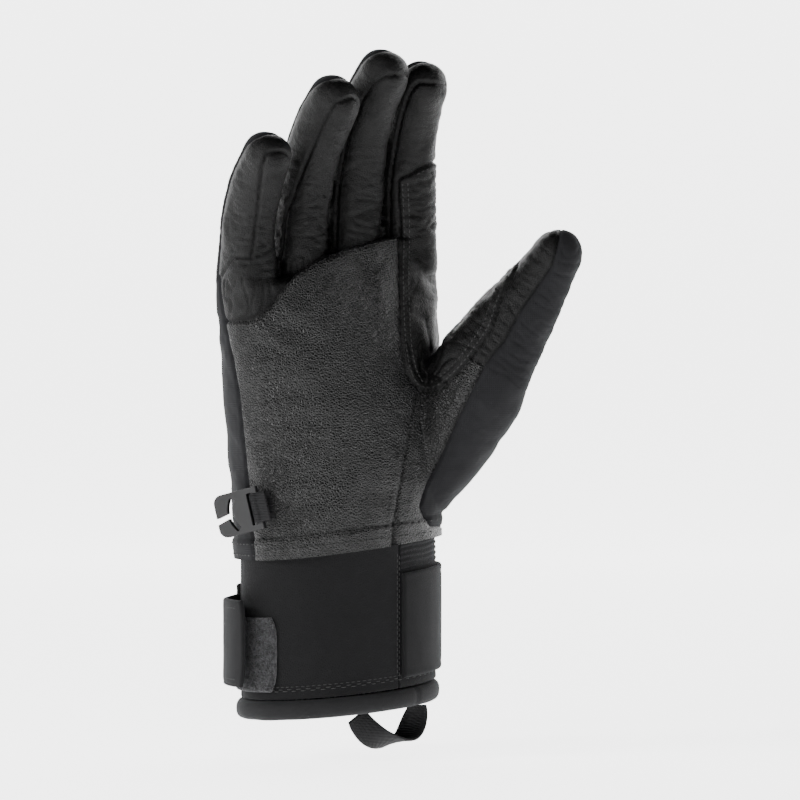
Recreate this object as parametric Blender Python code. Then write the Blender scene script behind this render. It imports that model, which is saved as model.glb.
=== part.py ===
"""A right-hand ski glove, built from its sewn panels.

The frame: +Z runs from the cuff's mouth to the fingertips, -Y is the palm side and +X the thumb
side. The origin is the centre of the cuff's mouth, where the hand goes in. The glove is modelled
worn, so it keeps the curl of a relaxed hand.

Each finger and the thumb is a tapered tube along a curved line. Its wall is cut into panels: a
leather palm face, a softshell back and, beyond the middle joint, a leather sidewall that runs up
one side, over the tip and down the other. Each tube is split at its root and at its middle joint.
The ends there are cut back in a wedge round the hinge's axis, which leaves room to bend.
"""

import math

import bmesh
import bpy
from mathutils import Matrix, Vector

MM = 0.001  # every length below is in millimetres

# ---------------------------------------------------------------- driving dimensions

GAP = 0.3  # between neighbouring pieces
SHELL = 1.5  # leather or softshell with its backing
FILL = 1.5  # insulation round the hand
LINER = 1.4  # fleece bonded to the membrane
NEOPRENE = 3.0  # cuff wall
INSULATION_INSET = SHELL + GAP
HAND_LINER_INSET = INSULATION_INSET + FILL + GAP
DIGIT_LINER_INSET = SHELL + GAP + 0.1

# Hand: height, centre x, half width, half depth of each section.
HAND_SECTIONS = (
    (56, 0.0, 42.4, 29.4),
    (70, -0.2, 43.4, 29.4),
    (82, -0.4, 44.4, 28.6),
    (100, -1.2, 46.0, 27.0),
    (122, -2.4, 47.6, 25.0),
    (146, -4.0, 48.6, 22.5),
    (166, -4.6, 49.2, 20.2),
    (186, -4.6, 49.2, 18.0),
    (206, -4.6, 49.0, 16.5),
)
HAND_SQUARENESS = 2.4
HAND_BOTTOM = 70.0

# Thumb root: centre, width and depth of the sections that leave the hand.
THUMB_ROOT_SECTIONS = (
    ((34.0, -5.0, 88.0), 26, 28),
    ((39.0, -11.0, 102.0), 33, 32),
    ((44.0, -19.0, 118.0), 38, 33),
    ((48.5, -26.0, 131.0), 39, 32),
    ((51.6, -29.5, 141.0), 38, 30),
    ((56.0, -32.6, 149.4), 36, 29),
)

HINGE_INSET = 5.0  # depth of a finger hinge below the palm face
KNUCKLE_FLEX, MIDDLE_FLEX, EXTEND = 55, 65, 8  # degrees of travel
THUMB_FLEX = (35, 45)
WEDGE_MARGIN = 2  # degrees of room beyond the travel

SIDE_SEAM = 62  # angle of the palm seam on a finger, from the palm direction
BACK_SEAM = 116  # angle of the back seam on a finger

CUFF_HALF = (42.4, 30.0)
HEM_HEIGHT = 7.0  # middle of the rolled binding
CUFF_BOTTOM, CUFF_TOP = 11.4, 69.6
HEM_TILT, WRIST_TILT = 0.07, 0.11  # slopes of the cuff's two ends, both rising to the thumb
CUFF_SEAM_ANGLES = (14, 256)  # where the front and back cuff panels meet, through the thumb side

STRAP_WIDTH = (15.5, 57.0)
STRAP_THICK = 2.2
STRAP_CLEAR = 0.4
STRAP_HINGE, TAB_HINGE, TAB_END = 122, 236, 283
TAB_WIDTH = (17.5, 53.0)

LEATHER = ("black leather", (0.035, 0.035, 0.036), 0.45)
GRAIN = ("black grained leather", (0.040, 0.040, 0.041), 0.50)
SOFTSHELL = ("black softshell", (0.030, 0.031, 0.033), 0.80)
NEOPRENE_BLACK = ("black neoprene", (0.028, 0.028, 0.031), 0.85)
FLEECE = ("black fleece", (0.020, 0.020, 0.022), 0.95)
WADDING = ("grey wadding", (0.30, 0.30, 0.31), 0.95)
HOOK_AND_LOOP = ("hook and loop tape", (0.022, 0.022, 0.023), 0.95)
WEBBING = ("black webbing", (0.018, 0.018, 0.019), 0.80)
PLASTIC = ("black plastic", (0.045, 0.045, 0.048), 0.40)
PRINT = ("reflective print", (0.45, 0.45, 0.46), 0.50)


# ---------------------------------------------------------------- helpers


def clear_scene():
    for obj in list(bpy.data.objects):
        bpy.data.objects.remove(obj)


def material(spec):
    name, colour, roughness = spec
    found = bpy.data.materials.get(name)
    if found:
        return found
    made = bpy.data.materials.new(name)
    made.use_nodes = True
    shader = made.node_tree.nodes["Principled BSDF"]
    shader.inputs["Base Color"].default_value = (*colour, 1)
    shader.inputs["Roughness"].default_value = roughness
    shader.inputs["Metallic"].default_value = 0
    return made


def mesh_object(name, spec, points, faces):
    """A closed mesh object from points in millimetres. Points that coincide are joined."""
    mesh = bpy.data.meshes.new(name)
    mesh.from_pydata([Vector(p) * MM for p in points], [], faces)
    work = bmesh.new()
    work.from_mesh(mesh)
    bmesh.ops.remove_doubles(work, verts=work.verts, dist=1e-6)
    bmesh.ops.dissolve_degenerate(work, edges=work.edges, dist=1e-7)
    bmesh.ops.recalc_face_normals(work, faces=work.faces)
    work.to_mesh(mesh)
    work.free()
    mesh.shade_smooth()
    mesh.set_sharp_from_angle(angle=math.radians(50))
    obj = bpy.data.objects.new(name, mesh)
    bpy.context.scene.collection.objects.link(obj)
    obj.data.materials.append(material(spec))
    return obj


def grid_solid(name, spec, outer, inner, wrap=False, closed_end=False):
    """A shell between two grids of points. wrap joins the last column to the first."""
    rows, columns = len(outer), len(outer[0])
    points = [p for row in outer for p in row] + [p for row in inner for p in row]
    half = rows * columns
    steps = columns if wrap else columns - 1
    faces = []
    for i in range(rows - 1):
        for j in range(steps):
            k = (j + 1) % columns
            a, b = i * columns + j, i * columns + k
            c, d = a + columns, b + columns
            faces += [(a, b, d, c), (half + a, half + c, half + d, half + b)]
    for j in range(steps):
        k = (j + 1) % columns
        faces.append((j, half + j, half + k, k))
        if not closed_end:
            a, b = (rows - 1) * columns + j, (rows - 1) * columns + k
            faces.append((a, b, half + b, half + a))
    if not wrap:
        for i in range(rows - 1):
            a, b = i * columns, (i + 1) * columns
            faces.append((a, b, half + b, half + a))
            a, b = a + columns - 1, b + columns - 1
            faces.append((a, half + a, half + b, b))
    return mesh_object(name, spec, points, faces)


def loft_solid(name, spec, rings):
    """A closed solid through rings of points, with flat ends."""
    columns = len(rings[0])
    points = [p for ring in rings for p in ring]
    faces = [tuple(range(columns))[::-1]]
    for i in range(len(rings) - 1):
        for j in range(columns):
            k = (j + 1) % columns
            a, b = i * columns + j, i * columns + k
            faces.append((a, b, b + columns, a + columns))
    last = (len(rings) - 1) * columns
    faces.append(tuple(last + j for j in range(columns)))
    return mesh_object(name, spec, points, faces)


def prism(name, outline, axis, low, high):
    """A cutter: an outline in the plane across axis, extruded along it from low to high."""
    place = {
        "X": lambda u, v, w: (w, u, v),
        "Y": lambda u, v, w: (u, w, v),
        "Z": lambda u, v, w: (u, v, w),
    }[axis]
    rings = [[place(u, v, w) for u, v in outline] for w in (low, high)]
    return cutter(loft_solid(name, LEATHER, rings))


def cutter(obj):
    obj.hide_render = True
    obj.display_type = "WIRE"
    return obj


def add_boolean(obj, other, operation):
    modifier = obj.modifiers.new(operation.title() + " " + other.name, "BOOLEAN")
    modifier.object = other
    modifier.operation = operation
    modifier.solver = "EXACT"
    return obj


def baked_copy(obj, name, spec):
    """A new object with the evaluated mesh of obj."""
    graph = bpy.context.evaluated_depsgraph_get()
    mesh = bpy.data.meshes.new_from_object(obj.evaluated_get(graph))
    mesh.materials.clear()
    made = bpy.data.objects.new(name, mesh)
    bpy.context.scene.collection.objects.link(made)
    made.data.materials.append(material(spec))
    return made


def inset_outline(outline, distance):
    """The outline of a polygon, given anticlockwise, moved inwards by a distance."""
    count = len(outline)
    moved = []
    for i in range(count):
        before, here, after = (Vector(outline[(i + k) % count]) for k in (-1, 0, 1))
        first, second = (here - before).normalized(), (after - here).normalized()
        normal_1, normal_2 = Vector((-first.y, first.x)), Vector((-second.y, second.x))
        bisector = (normal_1 + normal_2).normalized()
        moved.append(here + bisector * distance / max(0.5, bisector.dot(normal_1)))
    return [tuple(p) for p in moved]


def signed_power(value, exponent):
    return math.copysign(abs(value) ** exponent, value)


def between(low, high, share):
    return low + (high - low) * share


# ---------------------------------------------------------------- fingers and thumb


class Digit:
    """A tapered tube along a line that curls towards the palm. s is the distance from the root."""

    def __init__(self, name, root, along, palmward, length, curl, power, width, depth, cap, middle, flex):
        self.name = name
        self.root = Vector(root)
        self.along = Vector(along).normalized()
        palmward = Vector(palmward)
        self.palmward = (palmward - self.along * palmward.dot(self.along)).normalized()
        self.across = self.along.cross(self.palmward)
        self.length, self.curl, self.power = length, math.radians(curl), power
        self.width, self.depth = width, depth
        self.cap, self.middle = cap, middle
        self.flex = flex
        self.shoulder = length - cap

    def angle(self, s):
        return self.curl * max(0.0, s / self.length) ** self.power

    def axes(self, s):
        turn = self.angle(s)
        along = self.along * math.cos(turn) + self.palmward * math.sin(turn)
        palmward = self.palmward * math.cos(turn) - self.along * math.sin(turn)
        return along, palmward

    def centre(self, s):
        steps = 24
        here = self.root.copy()
        for i in range(steps):
            here += self.axes((i + 0.5) * s / steps)[0] * (s / steps)
        return here

    def half_sizes(self, s, inset):
        share = min(1.0, s / self.shoulder)
        return (
            between(*self.width, share) / 2 - inset,
            between(*self.depth, share) / 2 - inset,
        )

    def section(self, s, phi, inset):
        """Across and palmward offsets of the wall at an angle from the palm direction."""
        share = min(1.0, max(0.0, s / self.shoulder))
        exponent = 2 / between(2.5, 2.0, share)
        half_width, half_depth = self.half_sizes(s, inset)
        return (
            half_width * signed_power(math.sin(phi), exponent),
            half_depth * signed_power(math.cos(phi), exponent),
        )

    def wall(self, s, phi, inset):
        side, height = self.section(s, phi, inset)
        return self.centre(s) + self.across * side + self.axes(s)[1] * height

    def tip(self, side, height, ahead, inset):
        """A point of the rounded end in the unit direction (side, height, ahead)."""
        half_width, half_depth = self.half_sizes(self.shoulder, inset)
        along, palmward = self.axes(self.shoulder)
        return (
            self.centre(self.shoulder)
            + self.across * half_width * side
            + palmward * half_depth * height
            + along * (self.cap - inset) * ahead
        )

    def hinge_height(self, s):
        return self.half_sizes(s, 0)[1] - HINGE_INSET

    def hinge_point(self, s):
        return self.centre(s) + self.axes(s)[1] * self.hinge_height(s)

    def wedge(self, joint, phi, inset, flex, extend):
        """How far the wall stays back from a joint, so that it clears its neighbour."""
        above = self.section(joint, phi, inset)[1] - self.hinge_height(joint)
        angle = flex if above > 0 else extend
        return GAP + abs(above) * math.tan(math.radians(angle))

    def base_ends(self, phi, inset):
        root_flex = self.flex[0] + WEDGE_MARGIN
        middle_flex = (self.flex[1] + WEDGE_MARGIN) / 2
        extend = EXTEND + WEDGE_MARGIN
        return (
            self.wedge(0, phi, inset, root_flex, extend),
            self.middle - self.wedge(self.middle, phi, inset, middle_flex, extend / 2),
        )

    def tip_start(self, phi, inset):
        flex = (self.flex[1] + WEDGE_MARGIN) / 2
        extend = (EXTEND + WEDGE_MARGIN) / 2
        return self.middle + self.wedge(self.middle, phi, inset, flex, extend)


FINGER_WEB = (0, -1, 0)
DIGITS = (
    Digit("little", (-43.6, -1.2, 175.5), (-0.030, -0.03, 1), FINGER_WEB,
          61.5, 60, 1.5, (21.6, 19.4), (26.0, 20.5), 9, 25, (KNUCKLE_FLEX, MIDDLE_FLEX)),
    Digit("ring", (-19.8, 0.4, 184.5), (0.045, -0.06, 1), FINGER_WEB,
          78, 58, 1.5, (24.2, 21.2), (27.5, 21.5), 10, 31, (KNUCKLE_FLEX, MIDDLE_FLEX)),
    Digit("middle", (5.6, 0.8, 191.5), (0.005, -0.04, 1), FINGER_WEB,
          82, 54, 1.5, (24.8, 21.8), (27.5, 21.5), 10, 33, (KNUCKLE_FLEX, MIDDLE_FLEX)),
    Digit("index", (31.2, 0.2, 193.5), (-0.045, -0.04, 1), FINGER_WEB,
          74, 46, 1.5, (24.6, 21.8), (27.0, 21.0), 10, 30, (KNUCKLE_FLEX, MIDDLE_FLEX)),
    Digit("thumb", (51.6, -29.5, 141.0), (0.445, -0.312, 0.84), (-0.545, -0.839, 0.0),
          64, 20, 1.6, (38.0, 20.5), (30.0, 21.0), 13, 27, THUMB_FLEX),
)


def fan(low, high, count):
    return [math.radians(between(low, high, i / (count - 1))) for i in range(count)]


def wall_panel(digit, name, spec, ends, angles, rows, thickness, inset=0.0, wrap=False):
    """A panel of a digit's wall between two ends that depend on the angle."""

    def surface(depth):
        grid = []
        for i in range(rows + 1):
            row = []
            for phi in angles:
                start, stop = ends(phi, depth)
                row.append(digit.wall(between(start, stop, i / rows), phi, depth))
            grid.append(row)
        return grid

    return grid_solid(name, spec, surface(inset), surface(inset + thickness), wrap)


def tongue_panel(digit, name, spec, palm):
    """The palm or back panel beyond the middle joint: straight sides and a rounded end."""
    limit = SIDE_SEAM if palm else 180 - BACK_SEAM
    centre_angle = 0 if palm else 180
    reach = limit - 0.8
    angles = fan(centre_angle - reach, centre_angle + reach, 7)
    facing = 1 if palm else -1
    edge = math.cos(math.radians(reach))
    rows, end_rows = 6, 3

    def surface(inset):
        grid = []
        for i in range(rows + 1):
            row = []
            for phi in angles:
                start = digit.tip_start(phi, inset)
                row.append(digit.wall(between(start, digit.shoulder, i / rows), phi, inset))
            grid.append(row)
        for k in range(1, end_rows + 1):
            row = []
            for phi in angles:
                side = math.sin(phi)
                room = math.sqrt(max(0.0, 1 - edge * edge - side * side))
                ahead = room * k / end_rows
                height = facing * math.sqrt(max(0.0, 1 - side * side - ahead * ahead))
                row.append(digit.tip(side, height, ahead, inset))
            grid.append(row)
        return grid

    return grid_solid(name, spec, surface(0), surface(SHELL))


def sidewall_panel(digit, name, spec):
    """The strip that runs up one side of a digit, over its tip and down the other side."""
    low, high = SIDE_SEAM + 0.8, BACK_SEAM - 0.8
    across = fan(low, high, 4)
    rows, end_rows = 5, 8

    def surface(inset):
        up, down = [], []
        for i in range(rows + 1):
            left, right = [], []
            for phi in across:
                start = digit.tip_start(phi, inset)
                s = between(start, digit.shoulder, i / rows)
                left.append(digit.wall(s, -phi, inset))
                right.append(digit.wall(s, phi, inset))
            up.append(left)
            down.insert(0, right)
        over = []
        for k in range(1, end_rows):
            turn = math.radians(between(-90, 90, k / end_rows))
            row = []
            for phi in across:
                flat = math.sin(phi)
                row.append(digit.tip(flat * math.sin(turn), math.cos(phi), flat * math.cos(turn), inset))
            over.append(row)
        return up + over + down

    return grid_solid(name, spec, surface(0), surface(SHELL))


def tip_liner(digit, name):
    """The closed end of the lining, a thimble inside the tip's panels."""
    angles = fan(0, 360, 15)[:-1]
    rows, end_rows = 5, 3

    def surface(inset):
        grid = []
        for i in range(rows + 1):
            row = []
            for phi in angles:
                start = digit.tip_start(phi, inset)
                row.append(digit.wall(between(start, digit.shoulder, i / rows), phi, inset))
            grid.append(row)
        for k in range(1, end_rows + 1):
            rise = math.radians(90 * k / end_rows)
            flat = math.cos(rise) if k < end_rows else 0.0
            grid.append([
                digit.tip(flat * math.sin(phi), flat * math.cos(phi), math.sin(rise), inset)
                for phi in angles
            ])
        return grid

    outer = surface(DIGIT_LINER_INSET)
    inner = surface(DIGIT_LINER_INSET + LINER)
    return grid_solid(name, FLEECE, outer, inner, wrap=True, closed_end=True)


def build_digit(digit):
    name = digit.name + ("" if digit.name == "thumb" else "_finger")
    leather_reach = BACK_SEAM - 0.8
    wall_panel(digit, name + "_base_palm", LEATHER, digit.base_ends,
               fan(-leather_reach, leather_reach, 11), 4, SHELL)
    wall_panel(digit, name + "_base_back", SOFTSHELL, digit.base_ends,
               fan(BACK_SEAM + 0.8, 360 - BACK_SEAM - 0.8, 7), 4, SHELL)
    wall_panel(digit, name + "_base_liner", FLEECE, digit.base_ends,
               fan(0, 360, 15)[:-1], 3, LINER, DIGIT_LINER_INSET, wrap=True)
    tongue_panel(digit, name + "_tip_palm", LEATHER, palm=True)
    tongue_panel(digit, name + "_tip_back", SOFTSHELL, palm=False)
    sidewall_panel(digit, name + "_tip_sidewall", LEATHER)
    tip_liner(digit, name + "_tip_liner")


# ---------------------------------------------------------------- hand


def hand_ring(height, centre_x, half_width, half_depth, inset):
    exponent = 2 / HAND_SQUARENESS
    return [
        (
            centre_x + (half_width - inset) * signed_power(math.sin(phi), exponent),
            -(half_depth - inset) * signed_power(math.cos(phi), exponent),
            height,
        )
        for phi in fan(0, 360, 37)[:-1]
    ]


def hand_loft(name, inset):
    """The hand as a solid. A deeper one is also a little longer, so that no two ends coincide."""
    rings = [hand_ring(*section, inset) for section in HAND_SECTIONS]
    for ring, sign in ((rings[0], -1), (rings[-1], 1)):
        ring[:] = [(x, y, z + sign * inset * 0.3) for x, y, z in ring]
    return loft_solid(name, LEATHER, rings)


def thumb_root_loft(name, inset):
    """The thumb's root as a solid that starts inside the hand."""
    thumb = DIGITS[-1]
    centres = [Vector(section[0]) for section in THUMB_ROOT_SECTIONS]
    rings = []
    for i, (centre, width, depth) in enumerate(THUMB_ROOT_SECTIONS):
        before, after = centres[max(0, i - 1)], centres[min(i + 1, len(centres) - 1)]
        along = (after - before).normalized()
        palmward = (thumb.palmward - along * thumb.palmward.dot(along)).normalized()
        across = along.cross(palmward)
        shift = inset if i == 0 else inset * 0.3 if i == len(centres) - 1 else 0.0
        rings.append([
            Vector(centre) + along * shift
            + across * (width / 2 - inset) * math.sin(phi)
            + palmward * (depth / 2 - inset) * math.cos(phi)
            for phi in fan(0, 360, 21)[:-1]
        ])
    return loft_solid(name, LEATHER, rings)


def joint_cutter(digit):
    """A box that removes the hand beyond a digit's root, where the moving part begins."""
    along, palmward = digit.axes(0)
    across_half = digit.width[0] / 2 + (2.0 if digit.name != "thumb" else 1.0)
    palm_half = digit.depth[0] / 2 + 6.0
    reach = 40.0
    corners = []
    for s in (0.0, reach):
        for side, height in ((-1, -1), (1, -1), (1, 1), (-1, 1)):
            corners.append(
                digit.root + along * s + digit.across * side * across_half
                + palmward * height * palm_half
            )
    box = loft_solid("cutter_" + digit.name, LEATHER, [corners[:4], corners[4:]])
    return cutter(box)


def hand_layer(name, spec, inset, thickness, cutters):
    """One layer of the hand, open at the wrist, at each finger and at the thumb."""
    outside = cutter(hand_loft(name + "_outside", inset))
    thumb_outside = cutter(thumb_root_loft(name + "_thumb_outside", inset))
    inside = cutter(hand_loft(name + "_inside", inset + thickness))
    thumb_inside = cutter(thumb_root_loft(name + "_thumb_inside", inset + thickness))
    add_boolean(outside, thumb_outside, "UNION")
    add_boolean(inside, thumb_inside, "UNION")
    add_boolean(outside, inside, "DIFFERENCE")
    for one in cutters:
        add_boolean(outside, one, "DIFFERENCE")
    return outside


def slanted_box(name, low, high, tilt):
    """A wide box whose top and bottom rise towards +X."""
    half = 90
    outline = [(-half, low - tilt * half), (half, low + tilt * half),
               (half, high + tilt * half), (-half, high - tilt * half)]
    return prism(name, outline, "Y", -half, half)


# Seams on the palm, as x and z in the front view.
PALM_TOP_SEAM = ((-62, 154), (-53, 155), (-44, 156.5), (-37, 163.5), (-28.5, 171),
                 (-14.8, 177.5), (0, 182.5), (9.6, 184.5), (18, 185.5))
WEB_SEAM = ((18, 185.5), (17.8, 163.5), (18.2, 143.5), (19.6, 135), (22.5, 129.5),
            (27.5, 128.6), (33, 132), (41, 141.5), (47, 150), (51, 158))
THENAR_SEAM = ((7.6, 60), (8.5, 71.5), (11.3, 83.5), (15.8, 103.5), (19.6, 122), (22.5, 129.5))
OUTER_SEAM = ((23, 60), (24, 71.5), (27, 81.5), (35, 95.5), (41, 112), (45, 127),
              (49, 140), (54, 152), (60, 165))
SPLIT = ((-70, -5), (22, -5), (60, -38), (90, -52))  # palm side from back side, as x and y


def leather_zone():
    """Everything on the palm side of the split and inwards of the outer seam."""
    front = prism("zone_front", [(-80, -90), (90, -90)] + list(SPLIT)[::-1] + [(-80, -5)],
                  "Z", 30, 240)
    inwards = prism("zone_inwards", [(-70, 40)] + [(23, 40)] + list(OUTER_SEAM)
                    + [(60, 230), (-70, 230)], "Y", -95, 60)
    return cutter(add_boolean(front, inwards, "INTERSECT"))


def palm_outlines():
    palm = [(-62, 40), (7.6, 40)] + list(THENAR_SEAM) + list(WEB_SEAM)[4:0:-1][1:]
    palm += list(PALM_TOP_SEAM)[::-1]
    roots = list(PALM_TOP_SEAM) + [(18, 230), (-62, 230)]
    thenar = [(7.6, 40), (100, 40), (100, 158)] + list(WEB_SEAM)[:3:-1]
    thenar += list(THENAR_SEAM)[:-1][::-1]
    web = list(WEB_SEAM) + [(100, 158), (100, 230), (18, 230)]
    return {
        "palm_panel": (palm, GRAIN),
        "finger_root_leather": (roots, LEATHER),
        "thumb_ball_panel": (thenar, GRAIN),
        "thumb_web_patch": (web, LEATHER),
    }


def build_hand():
    cutters = [joint_cutter(digit) for digit in DIGITS]
    ends = slanted_box("hand_length", HAND_BOTTOM, 230, WRIST_TILT)
    shell = add_boolean(hand_layer("shell", LEATHER, 0, SHELL, cutters), ends, "INTERSECT")
    shell_mesh = cutter(baked_copy(shell, "whole_shell", LEATHER))
    zone = leather_zone()

    leather = cutter(add_boolean(baked_copy(shell_mesh, "leather_part", LEATHER), zone, "INTERSECT"))
    leather = cutter(baked_copy(leather, "leather_whole", LEATHER))
    for name, (outline, spec) in palm_outlines().items():
        window = prism("window_" + name, inset_outline(outline, GAP / 2), "Y", -95, 60)
        panel = add_boolean(baked_copy(leather, name, spec), window, "INTERSECT")
        panel.modifiers[-1].use_self = True

    wide_zone = add_boolean(
        prism("wide_front", [(-90, -90), (110, -90)]
              + [(x, y + GAP) for x, y in list(SPLIT)[::-1]] + [(-90, -5 + GAP)], "Z", 30, 240),
        prism("wide_inwards", [(-95, 30), (23 + GAP, 30)]
              + [(x + GAP, z) for x, z in OUTER_SEAM] + [(60 + GAP, 240), (-95, 240)], "Y", -99, 70),
        "INTERSECT")
    add_boolean(baked_copy(shell_mesh, "back_panel", SOFTSHELL), cutter(wide_zone), "DIFFERENCE")

    liner_ends = slanted_box("liner_length", HAND_BOTTOM + 1, 230, WRIST_TILT)
    liner = add_boolean(
        hand_layer("liner", FLEECE, HAND_LINER_INSET, LINER, cutters), liner_ends, "INTERSECT")
    baked_copy(liner, "hand_liner", FLEECE)
    fill_ends = slanted_box("fill_length", HAND_BOTTOM + 18, 230, WRIST_TILT)
    fill = add_boolean(
        hand_layer("fill", WADDING, INSULATION_INSET, FILL, cutters), fill_ends, "INTERSECT")
    baked_copy(fill, "hand_insulation", WADDING)


def hand_section(height):
    """Centre x, half width and half depth of the hand at a height, between the stated sections."""
    for lower, upper in zip(HAND_SECTIONS, HAND_SECTIONS[1:]):
        if lower[0] <= height <= upper[0]:
            share = (height - lower[0]) / (upper[0] - lower[0])
            return [between(a, b, share) for a, b in zip(lower[1:], upper[1:])]
    raise ValueError(height)


def hand_point(height, phi, proud):
    """A point on the hand at an angle from the palm direction, going through the thumb side."""
    centre_x, half_width, half_depth = hand_section(height)
    exponent = 2 / HAND_SQUARENESS
    return Vector((
        centre_x + (half_width + proud) * signed_power(math.sin(phi), exponent),
        -(half_depth + proud) * signed_power(math.cos(phi), exponent),
        height,
    ))


def hand_patch(name, spec, angles, heights, low, high):
    """A thin piece that follows the hand's surface, from low to high above it."""
    grids = []
    for proud in (high, low):
        grid = []
        for height in heights:
            flat = [hand_point(height, phi, proud) for phi in angles]
            grid.append([
                hand_point(height + WRIST_TILT * point.x, phi, proud) for phi, point in zip(angles, flat)
            ])
        grids.append(grid)
    return grid_solid(name, spec, *grids)


def build_hand_trim():
    hand_patch("back_print", PRINT, fan(212, 252, 8), [96, 101, 106, 111, 116], GAP, GAP + 0.5)
    hand_patch("wrist_elastic", WEBBING, fan(90, 270, 19), [75.5, 79.5, 83.5],
               -INSULATION_INSET - 1.0, -INSULATION_INSET)


# ---------------------------------------------------------------- cuff and strap


def cuff_point(height, degrees, proud):
    """A point on the cuff; the cuff's rings rise towards the thumb side."""
    phi = math.radians(degrees)
    x = (CUFF_HALF[0] + proud) * math.sin(phi)
    tilt = between(HEM_TILT, WRIST_TILT, height / CUFF_TOP)
    return Vector((x, -(CUFF_HALF[1] + proud) * math.cos(phi), height + tilt * x))


def cuff_shell(name, spec, start, stop, low, high, inset, thickness, columns, rows=2):
    grids = []
    for depth in (inset, inset + thickness):
        grid = []
        for i in range(rows + 1):
            height = between(low, high, i / rows)
            grid.append([
                cuff_point(height, between(start, stop, j / (columns - 1)), -depth)
                for j in range(columns)
            ])
        grids.append(grid)
    return grid_solid(name, spec, *grids)


def cuff_tube(name, spec, low, high, inset, thickness, columns):
    grids = []
    for depth in (inset, inset + thickness):
        grids.append([
            [cuff_point(height, 360 * j / columns, -depth) for j in range(columns)]
            for height in (low, high)
        ])
    return grid_solid(name, spec, *grids, wrap=True)


def hem_binding():
    """A rolled binding round the cuff's mouth."""
    columns, sides = 40, 10
    half_height, half_thick, middle = 3.9, 3.4, -1.6
    rings = []
    for j in range(columns):
        degrees = 360 * j / columns
        ring = []
        for k in range(sides):
            turn = 2 * math.pi * k / sides
            ring.append(cuff_point(
                HEM_HEIGHT + half_height * signed_power(math.sin(turn), 0.8), degrees,
                middle + half_thick * signed_power(math.cos(turn), 0.8)))
        rings.append(ring)
    points = [p for ring in rings for p in ring]
    faces = []
    for j in range(columns):
        for k in range(sides):
            a, b = j * sides + k, j * sides + (k + 1) % sides
            c, d = ((j + 1) % columns) * sides + k, ((j + 1) % columns) * sides + (k + 1) % sides
            faces.append((a, b, d, c))
    return mesh_object("hem_binding", NEOPRENE_BLACK, points, faces)


def strap_piece(name, spec, start, stop, width, clearance, thickness, columns, rounded=0.0):
    """A length of strap round the cuff. clearance gives its distance from the cuff by angle."""
    rows = 6
    grids = []
    for layer in (thickness, 0.0):
        grid = []
        for i in range(rows + 1):
            share = i / rows
            row = []
            for j in range(columns):
                degrees = between(start, stop, j / (columns - 1))
                if rounded:
                    bow = rounded * (2 * share - 1) ** 4
                    degrees = between(start, stop - bow, j / (columns - 1))
                height = between(*width, share)
                row.append(cuff_point(height, degrees, clearance(degrees) + layer))
            grid.append(row)
        grids.append(grid)
    return grid_solid(name, spec, *grids)


def tab_clearance(degrees):
    """The tab lifts off the cuff to pass over the loop patch, and its end stands away."""
    share = (degrees - TAB_HINGE) / (TAB_END - TAB_HINGE)
    return STRAP_CLEAR + 4.4 * min(1.0, share * 3.2) + 2.0 * share ** 2


def build_cuff():
    front, back = CUFF_SEAM_ANGLES
    seam = math.degrees(GAP / 2 / CUFF_HALF[0])
    cuff_shell("cuff_front_panel", NEOPRENE_BLACK, back - 360 + seam, front - seam,
               CUFF_BOTTOM, CUFF_TOP, 0, NEOPRENE, 17)
    cuff_shell("cuff_back_panel", NEOPRENE_BLACK, front + seam, back - seam,
               CUFF_BOTTOM, CUFF_TOP, 0, NEOPRENE, 29)
    cuff_tube("cuff_liner", FLEECE, CUFF_BOTTOM, CUFF_TOP, NEOPRENE + GAP, 1.2, 40)
    hem_binding()

    flat = STRAP_CLEAR
    strap_piece("strap_root", NEOPRENE_BLACK, front + 1.5, STRAP_HINGE - 0.5, STRAP_WIDTH,
                lambda degrees: flat, STRAP_THICK, 13)
    strap_piece("strap_band", NEOPRENE_BLACK, STRAP_HINGE + 0.5, TAB_HINGE - 0.5, STRAP_WIDTH,
                lambda degrees: flat, STRAP_THICK, 13)
    strap_piece("strap_tab", NEOPRENE_BLACK, TAB_HINGE + 0.5, TAB_END, TAB_WIDTH,
                tab_clearance, STRAP_THICK, 9, rounded=3.0)
    hook = 1.0
    strap_piece("hook_patch", HOOK_AND_LOOP, 250, TAB_END - 5, (TAB_WIDTH[0] + 3, TAB_WIDTH[1] - 3),
                lambda degrees: tab_clearance(degrees) - GAP - 0.3 - hook, hook, 5, rounded=2.5)
    strap_piece("loop_patch", HOOK_AND_LOOP, 247, 298.5, (14.8, 45.0),
                lambda degrees: GAP, 1.4, 9, rounded=4.0)


# ---------------------------------------------------------------- hanging loop


LOOP_INSET = 5.9
LOOP_ENDS = (-10, 47)  # where the tape's ends hang, from the palm direction
LOOP_TAPE = (10.5, 1.0)
LOOP_ROUTE = (  # along the rim, below it, out of it, and the tape's twist in degrees
    (-17.0, -0.4, 0.0, 0),
    (-15.6, -3.2, 0.4, 8),
    (-12.4, -7.0, 1.0, 20),
    (-7.5, -10.6, 1.6, 38),
    (-1.0, -12.8, 1.8, 60),
    (5.0, -13.2, 1.4, 85),
    (10.5, -11.4, 0.6, 112),
    (14.6, -7.8, 0.0, 140),
    (16.8, -3.8, 0.0, 162),
    (17.4, -0.4, 0.0, 180),
)


def loop_frame():
    """Middle of the line between the tape's ends, then along it, up and outwards."""
    first, last = (cuff_point(HEM_HEIGHT - 4.5, degrees, -LOOP_INSET) for degrees in LOOP_ENDS)
    along = (last - first).normalized()
    out = along.cross(Vector((0, 0, 1))).normalized()
    return (first + last) / 2, along, out.cross(along), out


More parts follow.
